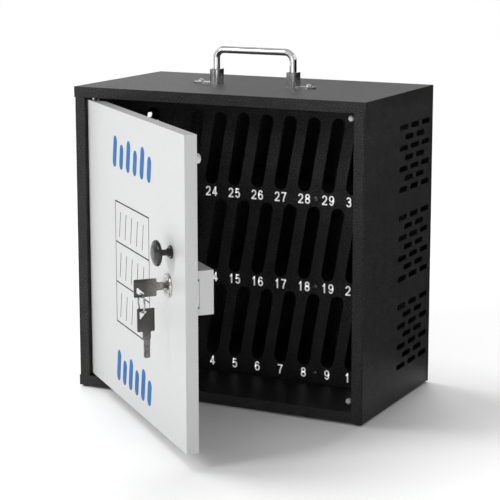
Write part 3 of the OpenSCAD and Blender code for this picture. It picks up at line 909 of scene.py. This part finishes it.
@dataclass
class Lock:
    """The lock's domed rose, its plug with the keyway, and the two keys on their ring."""

    shop: Shop
    axes: Axes
    rose_r: float = 14.0
    rose_t: float = 3.4
    rose_edge: float = 1.6
    rose_rise: float = 0.4
    rose_around: int = 80
    well_r: float = 8.6
    well_z: float = 1.3
    well_lip: float = 2.2
    well_in: float = 0.4
    barrel_r: float = 9.5
    barrel_l: float = 14.5
    plug_r: float = 6.0
    plug_end: float = 17.1
    plug_edge: float = 0.25
    plug_proud: float = 0.2
    plug_around: int = 48
    bore_gap: float = 0.05
    way_gap: float = 0.2
    way_round: float = 0.4
    key_t: float = 2.0
    key_edge: float = 0.22
    bow_l: float = 26.4
    bow_w: float = 20.2
    bow_shift: float = 0.8
    neck_l: float = 8.0
    neck_w: float = 9.2
    blade_l: float = 30.6
    blade_w: float = 7.0
    bow_off: float = 14.2
    hole: Point2 = (10.5, 9.5)
    hole_rim: Point2 = (3.0, 2.7)
    pit_count: int = 6
    pit_r: float = 1.0
    pit_first: float = 2.2
    pit_step: float = 3.4
    pit_side: float = 1.5
    pit_floor_r: float = 1.75
    pit_floor_z: float = 1.3
    pit_floor_end: float = -55.0
    pit_around: int = 16
    wire_in: float = 5.7
    wire_side: float = 2.5
    ring_r: float = 10.9
    wire_r: float = 1.1
    flat_share: float = 0.75
    crossing: float = 9.0
    ring_turns: int = 2
    ring_steps: int = 96
    ring_start: float = 200.0
    seat: float = 0.3

    def hole_corner(self) -> Point2:
        """The right-angled corner of a key's hole."""
        return self.hole_rim[0] - self.bow_l, self.hole_rim[1] - self.bow_w / 2 - self.bow_shift

    def build(self) -> None:
        """Builds rose, plug, keys and ring."""
        self.shop.add("lock_rose", self.rose(), self.axes, "door", Slot.LOCK, replaces=["lock_body"])
        # The plug takes the darker steel, painted shade for the rose's recessed centre.
        self.shop.add("lock_plug_face", self.plug(), self.axes, "plug", Slot.LOCK,
                      self.shop.finishes.dark_steel, replaces=["lock_plug"])
        upright = Matrix.Rotation(math.radians(90), 4, "Y")
        key = shifted(self.key(), z=self.bow_off, turn=upright)
        # Each key's steel is painted brighter towards its blade, a painted sheen.
        sheen_and_scratches = KeySteel("key_steel_turned", self.axes.matrix() @ Vector((0, 0, self.bow_off)), -self.axes.out)
        self.shop.add("key_turned", key, self.axes, "key", Slot.KEY, sheen_and_scratches.build(), replaces=["key_in_lock"])
        corner_x, corner_y = self.hole_corner()
        ring_out = self.bow_off - corner_x - self.wire_in
        wire_top = corner_y + self.wire_r + self.seat
        wire_low = wire_top - 2 * self.ring_r
        ring = shifted(self.split_ring(), y=wire_top - self.ring_r, z=ring_out)
        self.shop.add("split_ring", ring, self.axes, "ring", Slot.RING, replaces=["key_ring"])
        hang = Matrix.Rotation(math.radians(-90), 4, "X") @ upright
        low, out = wire_low + corner_x + self.wire_r + self.seat, ring_out + corner_y + self.wire_side
        hung = shifted(self.key(), y=low, z=out, turn=hang)
        sheen_and_scratches = KeySteel("key_steel_hanging", self.axes.matrix() @ Vector((0, low, out)), Vector((0, 0, -1)),
                        blade=(0.27, 0.265, 0.26), wear_mm=(-6.0, 12.0), mottle=0.85)
        self.shop.add("key_hanging", hung, self.axes, "spare", Slot.KEY, sheen_and_scratches.build(),
                      replaces=["spare_key"])

    def rose(self) -> bmesh.types.BMesh:
        """The rose, a domed ring round a well, and the barrel behind it, open for the plug.

        Returns:
            The mesh.
        """
        bore, crown = self.plug_r + self.bore_gap, (self.rose_r + self.well_r) / 2
        profile = rounded([
            (bore, -self.barrel_l, 0), (self.barrel_r, -self.barrel_l, 0.5), (self.barrel_r, 0, 0),
            (self.rose_r, 0, 0), (self.rose_r, self.rose_edge, 1.4),
            (crown, self.rose_t + self.rose_rise, 2.6), (self.well_r, self.well_lip, 1.2),
            (self.well_r - self.well_in, self.well_z, 0.3), (bore, self.well_z, 0.2),
            (bore, -self.barrel_l, 0)], closed=False)
        return revolve(profile, self.rose_around)

    def plug(self) -> bmesh.types.BMesh:
        """The plug with its keyway cut through.

        Returns:
            The mesh.
        """
        half_t, half_w = self.key_t / 2 + self.way_gap, self.blade_w / 2 + self.way_gap
        corners = ((-half_t, -half_w), (half_t, -half_w), (half_t, half_w), (-half_t, half_w))
        way = rounded([(*corner, self.way_round) for corner in corners], steps=3)
        depth = self.plug_end + self.well_z + self.plug_proud
        face = circle((0, 0), self.plug_r, self.plug_around)
        return shifted(plate(face, depth, [way], chamfer=self.plug_edge), z=-self.plug_end)

    def key(self) -> bmesh.types.BMesh:
        """A flat dimpled key along x, tip at +x, shoulder at the origin, middle plane at z = 0.

        Returns:
            The mesh.
        """
        low, high = -self.bow_w / 2 - self.bow_shift, self.bow_w / 2 - self.bow_shift
        neck, blade = self.neck_w / 2, self.blade_w / 2
        near = self.neck_l + neck - blade
        outline = rounded([
            (-self.bow_l, low, 0.8), (0, low, 1.2), (0, -neck, 1.5), (self.neck_l, -neck, 0.6),
            (near, -blade, 0.6), (self.blade_l, -blade, 2.0), (self.blade_l, blade, 2.0), (near, blade, 0.6),
            (self.neck_l, neck, 0.6), (0, neck, 1.5), (0, high, 1.2), (-self.bow_l, high, 0.8)], steps=4)
        x, y = self.hole_corner()
        hole = rounded([(x, y, 1.0), (x + self.hole[0], y, 0.9), (x, y + self.hole[1], 0.9)], steps=4)
        spots = [(near + self.pit_first + i * self.pit_step, (-1) ** i * self.pit_side)
                 for i in range(self.pit_count)]
        pits = [circle(spot, self.pit_r, self.pit_around) for spot in spots]
        flat = shifted(plate(outline, self.key_t, [hole, *pits], chamfer=self.key_edge), z=-self.key_t / 2)
        return joined([flat, *(shifted(self.pit(), *spot) for spot in spots)])

    def pit(self) -> bmesh.types.BMesh:
        """The web that closes a dimple between the key's two faces.

        Returns:
            The mesh.
        """
        half = self.key_t / 2 - self.key_edge
        floor = arc((0, half + self.pit_floor_z), self.pit_floor_r, -90, self.pit_floor_end, 4)
        upper = [*floor, (self.pit_r, half)]
        return revolve([*upper, *((r, -z) for r, z in reversed(upper))], self.pit_around)

    def split_ring(self) -> bmesh.types.BMesh:
        """Two turns of flat-lying wire with their crossing, in the x-y plane.

        Returns:
            The mesh.
        """
        thin = self.wire_r * self.flat_share
        points = []
        for i in range(self.ring_turns * self.ring_steps + 1):
            share = i / self.ring_steps - 1
            lift = (self.wire_r - thin) * max(-1.0, min(1.0, share * self.crossing))
            angle = math.tau * i / self.ring_steps + math.radians(self.ring_start)
            points.append(Vector((self.ring_r * math.cos(angle), self.ring_r * math.sin(angle), lift)))
        return from_curve(points, thin)


@dataclass
class Handle:
    """The folding bar on the roof."""

    shop: Shop
    pivot_z: float
    grip_w: float = 108.4
    top: float = 434.0
    bar_r: float = 4.5
    bend_r: float = 11.0
    bend_steps: int = 16
    bar_around: int = 10
    dome_steps: int = 44

    def build(self) -> None:
        """Bends the bar and closes its ends round the pivots."""
        half = self.grip_w / 2
        path = rounded([(-half, self.pivot_z, 0), (-half, self.top, self.bend_r),
                        (half, self.top, self.bend_r), (half, self.pivot_z, 0)],
                       closed=False, steps=self.bend_steps)
        pieces = [from_curve([Vector((x, 0, z)) for x, z in path], self.bar_r, self.bar_around)]
        for side in (-1, 1):
            dome = bmesh.new()
            bmesh.ops.create_uvsphere(dome, u_segments=self.dome_steps, v_segments=self.dome_steps // 2,
                                      radius=self.bar_r)
            pieces.append(shifted(dome, side * half, 0, self.pivot_z))
        self.shop.add("carry_bar", joined(pieces), Matrix.Scale(MM, 4), "handle", Slot.HANDLE,
                      replaces=["handle_bar"], smooth_deg=50)


@dataclass
class Fixing:
    """A small turned piece that sits at several places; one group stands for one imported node."""

    shop: Shop
    slot: ClassVar[Slot]
    smooth_deg: ClassVar[float]

    def mesh(self) -> bmesh.types.BMesh:
        """One piece with its seat at z = 0, in millimetres."""
        raise NotImplementedError

    def build(self, name: str, seats: Iterable[Matrix], body: str, node: str,
              material: bpy.types.Material | None = None) -> None:
        """Sets one piece on each seat.

        Args:
            name: Name of the group.
            seats: Places of the seats, in metres.
            body: The body that they ride on.
            node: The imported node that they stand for.
            material: A finish of their own in place of the slot's.
        """
        made = [shifted(self.mesh(), turn=seat @ Matrix.Scale(MM, 4)) for seat in seats]
        self.shop.add(name, joined(made), Matrix.Identity(4), body, self.slot, material,
                      replaces=[node], smooth_deg=self.smooth_deg)


@dataclass
class Screws(Fixing):
    """Domed screws with a cross recess."""

    head_r: float
    head_h: float
    shank_r: float
    length: float
    lip_share: float = 0.18
    arm_l_share: float = 0.52
    arm_w_share: float = 0.13
    arm_depth_share: float = 0.42
    wall: float = 0.12
    end_wall: float = 0.3
    floor_rise: float = 0.5
    rings: int = 18
    around: int = 96
    slot: ClassVar[Slot] = Slot.STEEL
    smooth_deg: ClassVar[float] = 50

    def recess(self, x: float, y: float) -> float:
        """Depth of the cross recess at a point of the head.

        Args:
            x: Distance from the middle along one arm.
            y: Distance from the middle along the other.

        Returns:
            The depth in millimetres.
        """
        reach, half = self.head_r * self.arm_l_share, self.head_r * self.arm_w_share
        near, far = sorted((abs(x), abs(y)))
        across = max(0.0, min(1.0, (half - near) / self.wall))
        along = max(0.0, min(1.0, (reach - far) / self.end_wall))
        slope = 1 - self.floor_rise * far / reach
        return self.head_h * self.arm_depth_share * across * along * slope

    def mesh(self) -> bmesh.types.BMesh:
        """Spins a screw along -z with its domed head above z = 0, and presses the recess in.

        Returns:
            The mesh.
        """
        lip = self.head_h * self.lip_share
        profile = [(0, -self.length), (self.shank_r, -self.length), (self.shank_r, 0), (self.head_r, 0)]
        for ring in range(self.rings, -1, -1):
            share = ring / self.rings
            profile.append((self.head_r * share, lip + (self.head_h - lip) * math.sqrt(1 - share ** 2)))
        mesh = revolve(profile, self.around)
        for vert in mesh.verts:
            if vert.co.z > 0:
                vert.co.z -= self.recess(vert.co.x, vert.co.y)
        return mesh


@dataclass
class Buffer(Fixing):
    """Moulded round buffers with a soft dome."""

    radius: float
    height: float
    soft_share: float = 0.45
    taper: float = 0.15
    slot: ClassVar[Slot] = Slot.BUFFER
    smooth_deg: ClassVar[float] = 35

    def mesh(self) -> bmesh.types.BMesh:
        """Spins one buffer with its foot at z = 0.

        Returns:
            The mesh.
        """
        profile = rounded([
            (0, 0, 0), (self.radius, 0, 0.2),
            (self.radius - self.taper, self.height, self.height * self.soft_share), (0, self.height, 0)],
            closed=False, steps=8)
        return revolve(profile)


@dataclass
class Numbers:
    """White numbers on the bands under the slots, drawn with an even stroke."""

    shop: Shop
    columns: Sequence[float]
    feet: Sequence[float]
    plate_y: float
    height: float = 12.5
    width: float = 7.1
    stroke: float = 1.95
    advance: float = 9.5
    film: float = 0.08
    sink: float = 0.01
    drop: float = 9.0
    squareness: float = 0.88
    oval_steps: int = 40

    def build(self) -> None:
        """Sets one row of numbers for each tier."""
        count = len(self.columns)
        for tier, (foot, name) in enumerate(zip(self.feet, ("lower", "middle", "upper"))):
            row = [self.number(tier * count + i + 1, x, foot - self.drop)
                   for i, x in enumerate(self.columns)]
            self.shop.add(f"numbers_{name}", joined(row), Matrix.Scale(MM, 4), "cabinet", None,
                          self.shop.finishes.white_ink)

    def box(self) -> Point2:
        """Width and height of the box round a digit's middle line."""
        return self.width - self.stroke, self.height - self.stroke

    def oval(self, x: float, y: float, half_w: float, half_h: float, start: float = 0.0,
             turn: float = 360.0) -> list[Point2]:
        """Points of a slightly squared oval, given in shares of the digit's middle-line box.

        Args:
            x: Its middle across.
            y: Its middle height.
            half_w: Half its width.
            half_h: Half its height.
            start: Its first angle in degrees.
            turn: The turn that it takes from there.

        Returns:
            The points, in millimetres.
        """
        wide, high = self.box()
        points = []
        for i in range(self.oval_steps if turn == 360.0 else self.oval_steps + 1):
            angle = math.radians(start + turn * i / self.oval_steps)
            cos, sin = (math.copysign(abs(part) ** self.squareness, part)
                        for part in (math.cos(angle), math.sin(angle)))
            points.append(((x + half_w * cos) * wide, (y + half_h * sin) * high))
        return points

    def line(self, *points: Point2) -> list[Point2]:
        """A line through points given in shares of the digit's middle-line box."""
        wide, high = self.box()
        return [(x * wide, y * high) for x, y in points]

    def digit(self, value: int) -> bmesh.types.BMesh:
        """One digit with its middle-line box's corner at the origin.

        Args:
            value: The digit, 0 to 9.

        Returns:
            The mesh, in millimetres.
        """
        wide, high = self.box()
        if value == 9:
            turned = shifted(self.digit(6), turn=Matrix.Rotation(math.pi, 4, "Z"))
            return shifted(turned, wide, high)
        side, rise = self.stroke / 2 / wide, self.stroke / 2 / high
        line, oval = self.line, self.oval
        loops = {
            0: [(0.5, 0.5, 0.5, 0.5)],
            6: [(0.5, 0.30, 0.5, 0.30)],
            8: [(0.5, 0.76, 0.44, 0.24), (0.5, 0.265, 0.5, 0.265)],
        }
        lines = {
            1: [line((0.62, -rise), (0.62, 1 + rise)), line((0.12, 0.74), (0.36, 0.78), (0.62, 0.96))],
            2: [[*oval(0.5, 0.715, 0.48, 0.285, 175, -205), *line((0.62, 0.36), (0.12, 0.10), (0.02, 0.0))],
                line((-side, 0), (1 + side, 0))],
            3: [oval(0.5, 0.755, 0.44, 0.245, 165, -255), oval(0.5, 0.265, 0.5, 0.265, 90, -255),
                line((0.35, 0.52), (0.55, 0.52))],
            4: [line((0.72, -rise), (0.72, 1 + rise)), line((0.70, 0.98), (0.0, 0.27)),
                line((-side * 0.9, 0.25), (1 + side * 1.2, 0.25))],
            5: [line((0.12, 1.0), (0.95, 1.0)), line((0.17, 1 + rise), (0.06, 0.46)),
                oval(0.5, 0.32, 0.5, 0.32, 148, -308)],
            6: [oval(0.5, 0.5, 0.5, 0.5, 35, 157)],
            7: [line((-side, 1.0), (1 + side * 0.9, 1.0)),
                line((0.98, 0.96), (0.68, 0.62), (0.46, 0.30), (0.36, -rise))],
        }
        made = [ribbon(oval(*loop), self.stroke, self.film, closed=True) for loop in loops.get(value, [])]
        made += [ribbon(path, self.stroke, self.film) for path in lines.get(value, [])]
        return joined(made)

    def number(self, value: int, x: float, z: float) -> bmesh.types.BMesh:
        """One number as a thin film on the slotted front.

        Args:
            value: The number.
            x: Its middle across.
            z: Its middle height.

        Returns:
            The mesh, in millimetres.
        """
        text = str(value)
        wide, high = self.box()
        start = -(len(text) - 1) * self.advance / 2 - wide / 2
        made = [shifted(self.digit(int(mark)), start + i * self.advance, -high / 2)
                for i, mark in enumerate(text)]
        upright = Matrix.Rotation(math.radians(90), 4, "X")
        return shifted(joined(made), x, self.plate_y - self.sink, z, upright)


@dataclass
class DoorPrint:
    """Plain printed marks on the door: rows of leaning bars, and a rack drawn in thin lines.

    Places are rectangles as (left, bottom, right, top), in millimetres from the door's lower corner.
    """

    shop: Shop
    axes: Axes
    film: float = 0.06
    line: float = 1.6
    lean: float = math.tan(math.radians(10))
    top_row: Rect = (96, 303, 248, 342)
    low_row: Rect = (100, 36, 240, 76)
    bar_count: int = 6
    bar_w: float = 14.0
    bar_drop: float = 8.0
    rack_place: Rect = (104, 112, 232, 262)
    shelves: int = 3
    strokes: int = 5
    stroke_first: float = 15.0
    stroke_step: float = 22.0
    stroke_low: float = 8.0
    stroke_room: float = 20.0

    def build(self) -> None:
        """Prints the two blue rows and the black drawing between them."""
        ink = self.shop.finishes
        prints = (("print_bars_top", self.bars(self.top_row), ink.blue_ink),
                  ("print_bars_low", self.bars(self.low_row), ink.blue_ink),
                  ("print_rack", self.rack(self.rack_place), ink.black_ink))
        for name, mesh, material in prints:
            self.shop.add(name, mesh, self.axes, "door", None, material)

    def bars(self, place: Rect) -> bmesh.types.BMesh:
        """A row of leaning strokes inside a rectangle; every second one is shorter.

        Args:
            place: The rectangle.

        Returns:
            The mesh.
        """
        left, bottom, right, top = place
        half = self.bar_w / 2
        step = (right - left - (top - bottom) * self.lean - self.bar_w) / (self.bar_count - 1)
        made = []
        for i in range(self.bar_count):
            x, low = left + half + i * step, bottom + half
            high = top - half - (i % 2) * self.bar_drop
            made.append(bar((x, low), (x + (high - low) * self.lean, high), self.bar_w, self.film))
        return joined(made)

    def rack(self, place: Rect) -> bmesh.types.BMesh:
        """A plain frame with two shelves and leaning strokes on each level.

        Args:
            place: The frame's rectangle.

        Returns:
            The mesh.
        """
        left, bottom, right, top = place
        corners = [(left, bottom), (right, bottom), (right, top), (left, top)]
        lines = [(corners[i - 1], corners[i]) for i in range(len(corners))]
        shelf_h = (top - bottom) / self.shelves
        rise = shelf_h - self.stroke_room
        for tier in range(self.shelves):
            low = bottom + tier * shelf_h
            if tier:
                lines.append(((left, low), (right, low)))
            for i in range(self.strokes):
                x, foot = left + self.stroke_first + i * self.stroke_step, low + self.stroke_low
                lines.append(((x, foot), (x + rise * self.lean, foot + rise)))
        return joined(bar(start, end, self.line, self.film) for start, end in lines)


@dataclass
class Pads:
    """The rubber pads pushed through the base rim."""

    shop: Shop
    radius: float = 5.0
    low: float = 2.0
    sheet: float = 1.2
    flange: float = 1.3
    taper: float = 0.3
    half_w: float = 198.8
    front: float = -110.0
    back: float = 108.8
    inset: float = 6.0

    def build(self) -> None:
        """Spins one pad for each corner, with its rounded foot and its flange above the lip."""
        wide, high = self.radius + self.flange, self.sheet + self.flange
        profile = rounded([
            (0, -self.low, 0), (self.radius - self.taper, -self.low, 0.7), (self.radius, 0, 0.1),
            (self.radius, self.sheet, 0), (wide, self.sheet, 0.1), (wide - self.taper, high, 0.5),
            (0, high, 0)], closed=False, steps=4)
        edge = self.half_w - self.inset
        spots = [(x, y) for x in (-edge, edge) for y in (self.front + self.inset, self.back - self.inset)]
        mesh = joined(shifted(revolve(profile), x, y) for x, y in spots)
        self.shop.add("rubber_pads", mesh, Matrix.Scale(MM, 4), "cabinet", Slot.PAD, replaces=["base_pads"])


@dataclass(frozen=True)
class Sun:
    """A soft overhead light: the way that it shines, and its power."""

    name: str
    aim: Triple
    power: float


@dataclass(frozen=True)
class Softbox:
    """A square soft lamp: its place and side in metres, and its watts."""

    name: str
    place: Triple
    watts: float
    side: float = 0.8


@dataclass(frozen=True)
class Card:
    """A curved upright card whose reflection gives the metal dark stripes.

    It bends round the cabinet's middle. Its sizes are in metres, its two ends in degrees from the
    right-hand side, and a tone of 1 is white.
    """

    name: str
    radius: float
    top: float
    first_deg: float
    last_deg: float
    tone: float
    steps: int = 32

    def mesh(self) -> bmesh.types.BMesh:
        """Spins an upright edge from the card's first end to its last.

        Returns:
            The mesh.
        """
        mesh = bmesh.new()
        foot = Matrix.Rotation(math.radians(self.first_deg), 3, "Z") @ Vector((self.radius, 0, 0))
        verts = [mesh.verts.new(foot), mesh.verts.new(foot + Vector((0, 0, self.top)))]
        edge = mesh.edges.new(verts)
        bmesh.ops.spin(mesh, geom=[*verts, edge], cent=(0, 0, 0), axis=(0, 0, 1),
                       angle=math.radians(self.last_deg - self.first_deg), steps=self.steps,
                       use_merge=False, use_duplicate=False)
        return mesh


@dataclass
class Studio:
    """White floor, soft lamps and the camera of the photograph."""

    eye_mm: Triple = (970.46, -1932.12, 618.3)
    yaw_deg: float = -26.482
    pitch_deg: float = 10.53
    focal_px: float = 1707.73
    shift_px: Point2 = (10.0, -30.0)
    sensor_mm: float = 36.0
    clip_m: Span = (0.05, 50.0)
    floor_z: float = -0.002
    floor_half: float = 30.0
    floor_glow: float = 0.05
    floor_tones: Span = (0.97, 0.98)
    floor_roughness: float = 0.8
    cloud_scale: float = 0.8
    sky: float = 0.27
    sun_size_deg: float = 35.0
    suns: tuple[Sun, ...] = (
        Sun("back_light", (0.25, -0.75, -1.0), 1.45),
        Sun("left_light", (0.7, -0.05, -1.0), 1.5),
    )
    shaded_bodies: frozenset[str] = frozenset({"door", "plug", "bolt", "key", "ring", "spare"})
    softboxes: tuple[Softbox, ...] = (
        Softbox("front_fill", (0.0, -2.6, 0.45), 5.0),
        Softbox("left_fill", (-1.3, -2.0, 1.5), 22.5),
    )
    middle: Triple = (0.0, 0.0, 0.2)
    cards: tuple[Card, ...] = (
        Card("near_card", 0.27, 0.365, -20.0, 100.0, 0.08),
        Card("far_card", 1.5, 0.6, -25.0, 120.0, 0.005),
        Card("grey_wall", 4.0, 3.0, -165.0, -12.0, 0.6),
    )
    ceiling_z: float = 1.5
    ceiling_half: float = 1.2
    ceiling_tone: float = 0.5

    def build(self) -> None:
        """Makes floor, world, lamps, cards and camera."""
        self.floor()
        self.world()
        for sun in self.suns:
            self.sun(sun)
        for box in self.softboxes:
            self.softbox(box)
        for card in self.cards:
            self.card(card.name, card.mesh(), card.tone)
        self.card("grey_card", self.level(self.ceiling_half, self.ceiling_z), self.ceiling_tone)
        self.camera()
        bpy.context.scene.view_settings.view_transform = "Standard"

    @staticmethod
    def level(half: float, height: float) -> bmesh.types.BMesh:
        """A level square.

        Args:
            half: Half its side, in metres.
            height: Its height, in metres.

        Returns:
            The mesh.
        """
        mesh = bmesh.new()
        bmesh.ops.create_grid(mesh, x_segments=1, y_segments=1, size=half)
        return shifted(mesh, z=height)

    @staticmethod
    def staged(name: str, mesh: bmesh.types.BMesh, material: bpy.types.Material) -> bpy.types.Object:
        """Makes a piece of the studio.

        Args:
            name: Its name.
            mesh: Its mesh in metres, which is freed.
            material: Its material.

        Returns:
            The object.
        """
        made = in_scene(name, as_data(name, mesh))
        made.data.materials.append(material)
        made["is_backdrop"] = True
        return made

    @staticmethod
    def seen(tree: Shader) -> Sock:
        """Tells the rays that see the surround from those that carry its light.

        Args:
            tree: The tree that asks.

        Returns:
            1 for camera, glossy and transmission rays, and 0 for the others.
        """
        path = tree.node("ShaderNodeLightPath")
        camera, glossy, through = (Sock(tree.tree, path.outputs[f"Is {kind} Ray"])
                                   for kind in ("Camera", "Glossy", "Transmission"))
        return (camera + glossy + through).clamp()

    def floor(self) -> None:
        """Lays a large matt white floor that keeps the object's shadow."""
        tree = Shader("floor_white")
        first, second = (grey(tone) for tone in self.floor_tones)
        matt = tree.node("ShaderNodeBsdfPrincipled", inputs={
            "Base Color": tree.blend(tree.noise(self.cloud_scale), first, second),
            "Roughness": self.floor_roughness, "Specular IOR Level": 0.0})
        mix = tree.node("ShaderNodeMixShader", inputs={
            0: self.seen(tree) * self.floor_glow, 1: matt.outputs[0], 2: tree.glow(1.0).outputs[0]})
        self.staged("floor", self.level(self.floor_half, self.floor_z), tree.finish(mix))

    def world(self) -> None:
        """A soft surround; the camera and reflections see it as white."""
        bpy.context.scene.world = bpy.data.worlds.new("studio")
        tree = Shader("studio", bpy.context.scene.world)
        light, white = (tree.node("ShaderNodeBackground", inputs={"Color": WHITE, "Strength": strength})
                        for strength in (self.sky, 1.0))
        tree.finish(tree.node("ShaderNodeMixShader", inputs={
            0: self.seen(tree), 1: light.outputs[0], 2: white.outputs[0]}))

    @staticmethod
    def aimed(made: bpy.types.Object, aim: Vector) -> None:
        """Turns a lamp so that it shines along a direction."""
        made.rotation_euler = aim.to_track_quat("-Z", "Y").to_euler()

    def sun(self, sun: Sun) -> None:
        """Hangs a sun that leaves the door out, so that the door's upper folds stay grey.

        Args:
            sun: The sun.
        """
        data = bpy.data.lights.new(sun.name, "SUN")
        data.energy = sun.power
        data.angle = math.radians(self.sun_size_deg)
        made = in_scene(sun.name, data)
        made.visible_glossy = False
        self.aimed(made, Vector(sun.aim))
        unlit = bpy.data.collections.new(f"not_lit_by_{sun.name}")
        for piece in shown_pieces():
            if self.shaded_bodies & set(body_of(piece)):
                unlit.objects.link(piece)
        made.light_linking.receiver_collection = unlit
        for entry in unlit.collection_objects:
            entry.light_linking.link_state = "EXCLUDE"

    def softbox(self, box: Softbox) -> None:
        """Sets up a square lamp that looks at the cabinet's middle.

        Args:
            box: The lamp.
        """
        data = bpy.data.lights.new(box.name, "AREA")
        data.size = box.side
        data.energy = box.watts
        made = in_scene(box.name, data)
        made.location = box.place
        self.aimed(made, Vector(self.middle) - Vector(box.place))

    def card(self, name: str, mesh: bmesh.types.BMesh, tone: float) -> None:
        """Makes a card that only reflections see.

        Args:
            name: Its name.
            mesh: Its mesh in metres, which is freed.
            tone: Its brightness, where 1 is white.
        """
        tree = Shader(name)
        made = self.staged(name, mesh, tree.finish(tree.glow(tone)))
        made.visible_camera = made.visible_diffuse = made.visible_shadow = False

    def camera(self) -> None:
        """The photograph's camera, solved from the cabinet's corners."""
        data = bpy.data.cameras.new("photo_camera")
        data.sensor_width = self.sensor_mm
        data.lens = self.sensor_mm * self.focal_px / IMAGE_PX
        data.shift_x = -self.shift_px[0] / IMAGE_PX
        data.shift_y = self.shift_px[1] / IMAGE_PX
        data.clip_start, data.clip_end = self.clip_m
        made = in_scene("photo_camera", data)
        made.location = Vector(self.eye_mm) * MM
        made.rotation_euler = (math.radians(90 - self.pitch_deg), 0, math.radians(-self.yaw_deg))
        bpy.context.scene.camera = made


@dataclass
class Cabinet:
    """The whole object: reads the frame and builds each sub-assembly in turn.

    Places are in millimetres: those on the door from the lock's middle, the others in the frame.
    """

    frame: dict[str, object]
    shop: Shop = field(default_factory=lambda: Shop(Finishes()))
    face: float = 6.0
    sheet: float = 1.2
    knob_place: Point2 = (10.5, 40.0)
    buffer_place: Triple = (50.5, 149.5, -14.5)
    slot_w: float = 17.7
    slot_h: float = 95.0
    slot_step: float = 33.0
    slot_lean: float = 10.0
    slot_count: int = 10
    slot_base: float = 35.4
    tier_step: float = 112.8
    tiers: int = 3
    plate_y: float = -11.5
    screw_columns: tuple[int, int] = (2, 8)
    screw_drop: float = 8.0
    stop_place: Point2 = (174.5, -90.5)
    stop_heights: Span = (22.0, 368.0)
    bracket_screw: Triple = (76.1, -1.0, 392.1)

    def joint(self, name: str) -> dict[str, object]:
        """The record's joint of that name."""
        joints = self.frame["record"]["behaviour"]["joints"]
        return next(joint for joint in joints if joint["name"] == name)

    def build(self) -> None:
        """Builds every sub-assembly."""
        slots = {part["node"]: Slot(part["material_slot"]) for part in self.frame["record"]["subparts"]}
        CadPieces(self.shop, self.frame["nodes"], slots).build()
        self.door()
        self.rack()
        self.roof()
        Pads(self.shop).build()
        LOG.info("%d new pieces", self.shop.count)

    def door(self) -> None:
        """Builds the door's lock, knob, buffer and print."""
        out = -Vector(self.joint("lock_turn")["axis"])
        along = Vector(self.joint("bolt_slide")["axis"])
        lock = Axes(Vector(self.joint("lock_turn")["pos_m"]), along, out)
        Lock(self.shop, lock).build()
        knob = lock.moved(*self.knob_place)
        Knob(self.shop, knob).build()
        Screws(self.shop, head_r=4.0, head_h=2.6, shank_r=2.0, length=8.0).build(
            "knob_fixing", [knob.moved(z=-self.sheet).seat_behind()], "door", "knob_screw")
        Buffer(self.shop, radius=5.6, height=5.6).build(
            "soft_stop", [lock.moved(*self.buffer_place).seat_behind()], "door", "door_buffer")
        hinge = Vector(self.joint("door_hinge")["pos_m"])
        corner = Vector((hinge.x, hinge.y, 0)) + out * self.face * MM
        DoorPrint(self.shop, Axes(corner, along, out)).build()

    def rack(self) -> None:
        """Builds the numbers, the rack's screws and the two stop buffers."""
        shift = (self.slot_h - self.slot_w) * math.tan(math.radians(self.slot_lean))
        middle = (self.slot_count - 1) / 2
        columns = [(i - middle) * self.slot_step - shift / 2 for i in range(self.slot_count)]
        feet = [self.slot_base + tier * self.tier_step for tier in range(self.tiers)]
        Numbers(self.shop, columns, feet, self.plate_y).build()
        between = [columns[i] - self.slot_step / 2 for i in self.screw_columns]
        seats = [self.front_seat(x, self.plate_y, foot - self.screw_drop) for foot in feet for x in between]
        Screws(self.shop, head_r=3.5, head_h=2.4, shank_r=2.0, length=6.0).build(
            "rack_fixings", seats, "cabinet", "rack_screws", self.shop.finishes.dark_steel)
        stops = [self.front_seat(*self.stop_place, z) for z in self.stop_heights]
        Buffer(self.shop, radius=3.6, height=4.7).build("stop_caps", stops, "cabinet", "stop_buffers")

    def roof(self) -> None:
        """Builds the folding bar and the screws of its brackets."""
        Handle(self.shop, Vector(self.joint("handle_fold")["pos_m"]).z / MM).build()
        x, y, z = self.bracket_screw
        seats = [Matrix.Translation(Vector((side * x, y, z)) * MM) for side in (-1, 1)]
        Screws(self.shop, head_r=3.8, head_h=3.4, shank_r=2.0, length=10.0).build(
            "bracket_fixings", seats, "cabinet", "handle_screws")

    @staticmethod
    def front_seat(x: float, y: float, z: float) -> Matrix:
        """A seat that faces forwards, from its place in millimetres."""
        return Matrix.Translation(Vector((x, y, z)) * MM) @ Matrix.Rotation(math.radians(90), 4, "X")


def main() -> None:
    """Builds the object and the studio."""
    logging.basicConfig(level=logging.INFO, format="%(name)s: %(message)s")
    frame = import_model()
    Cabinet(frame).build()
    Studio().build()


if __name__ == "__main__":
    main()
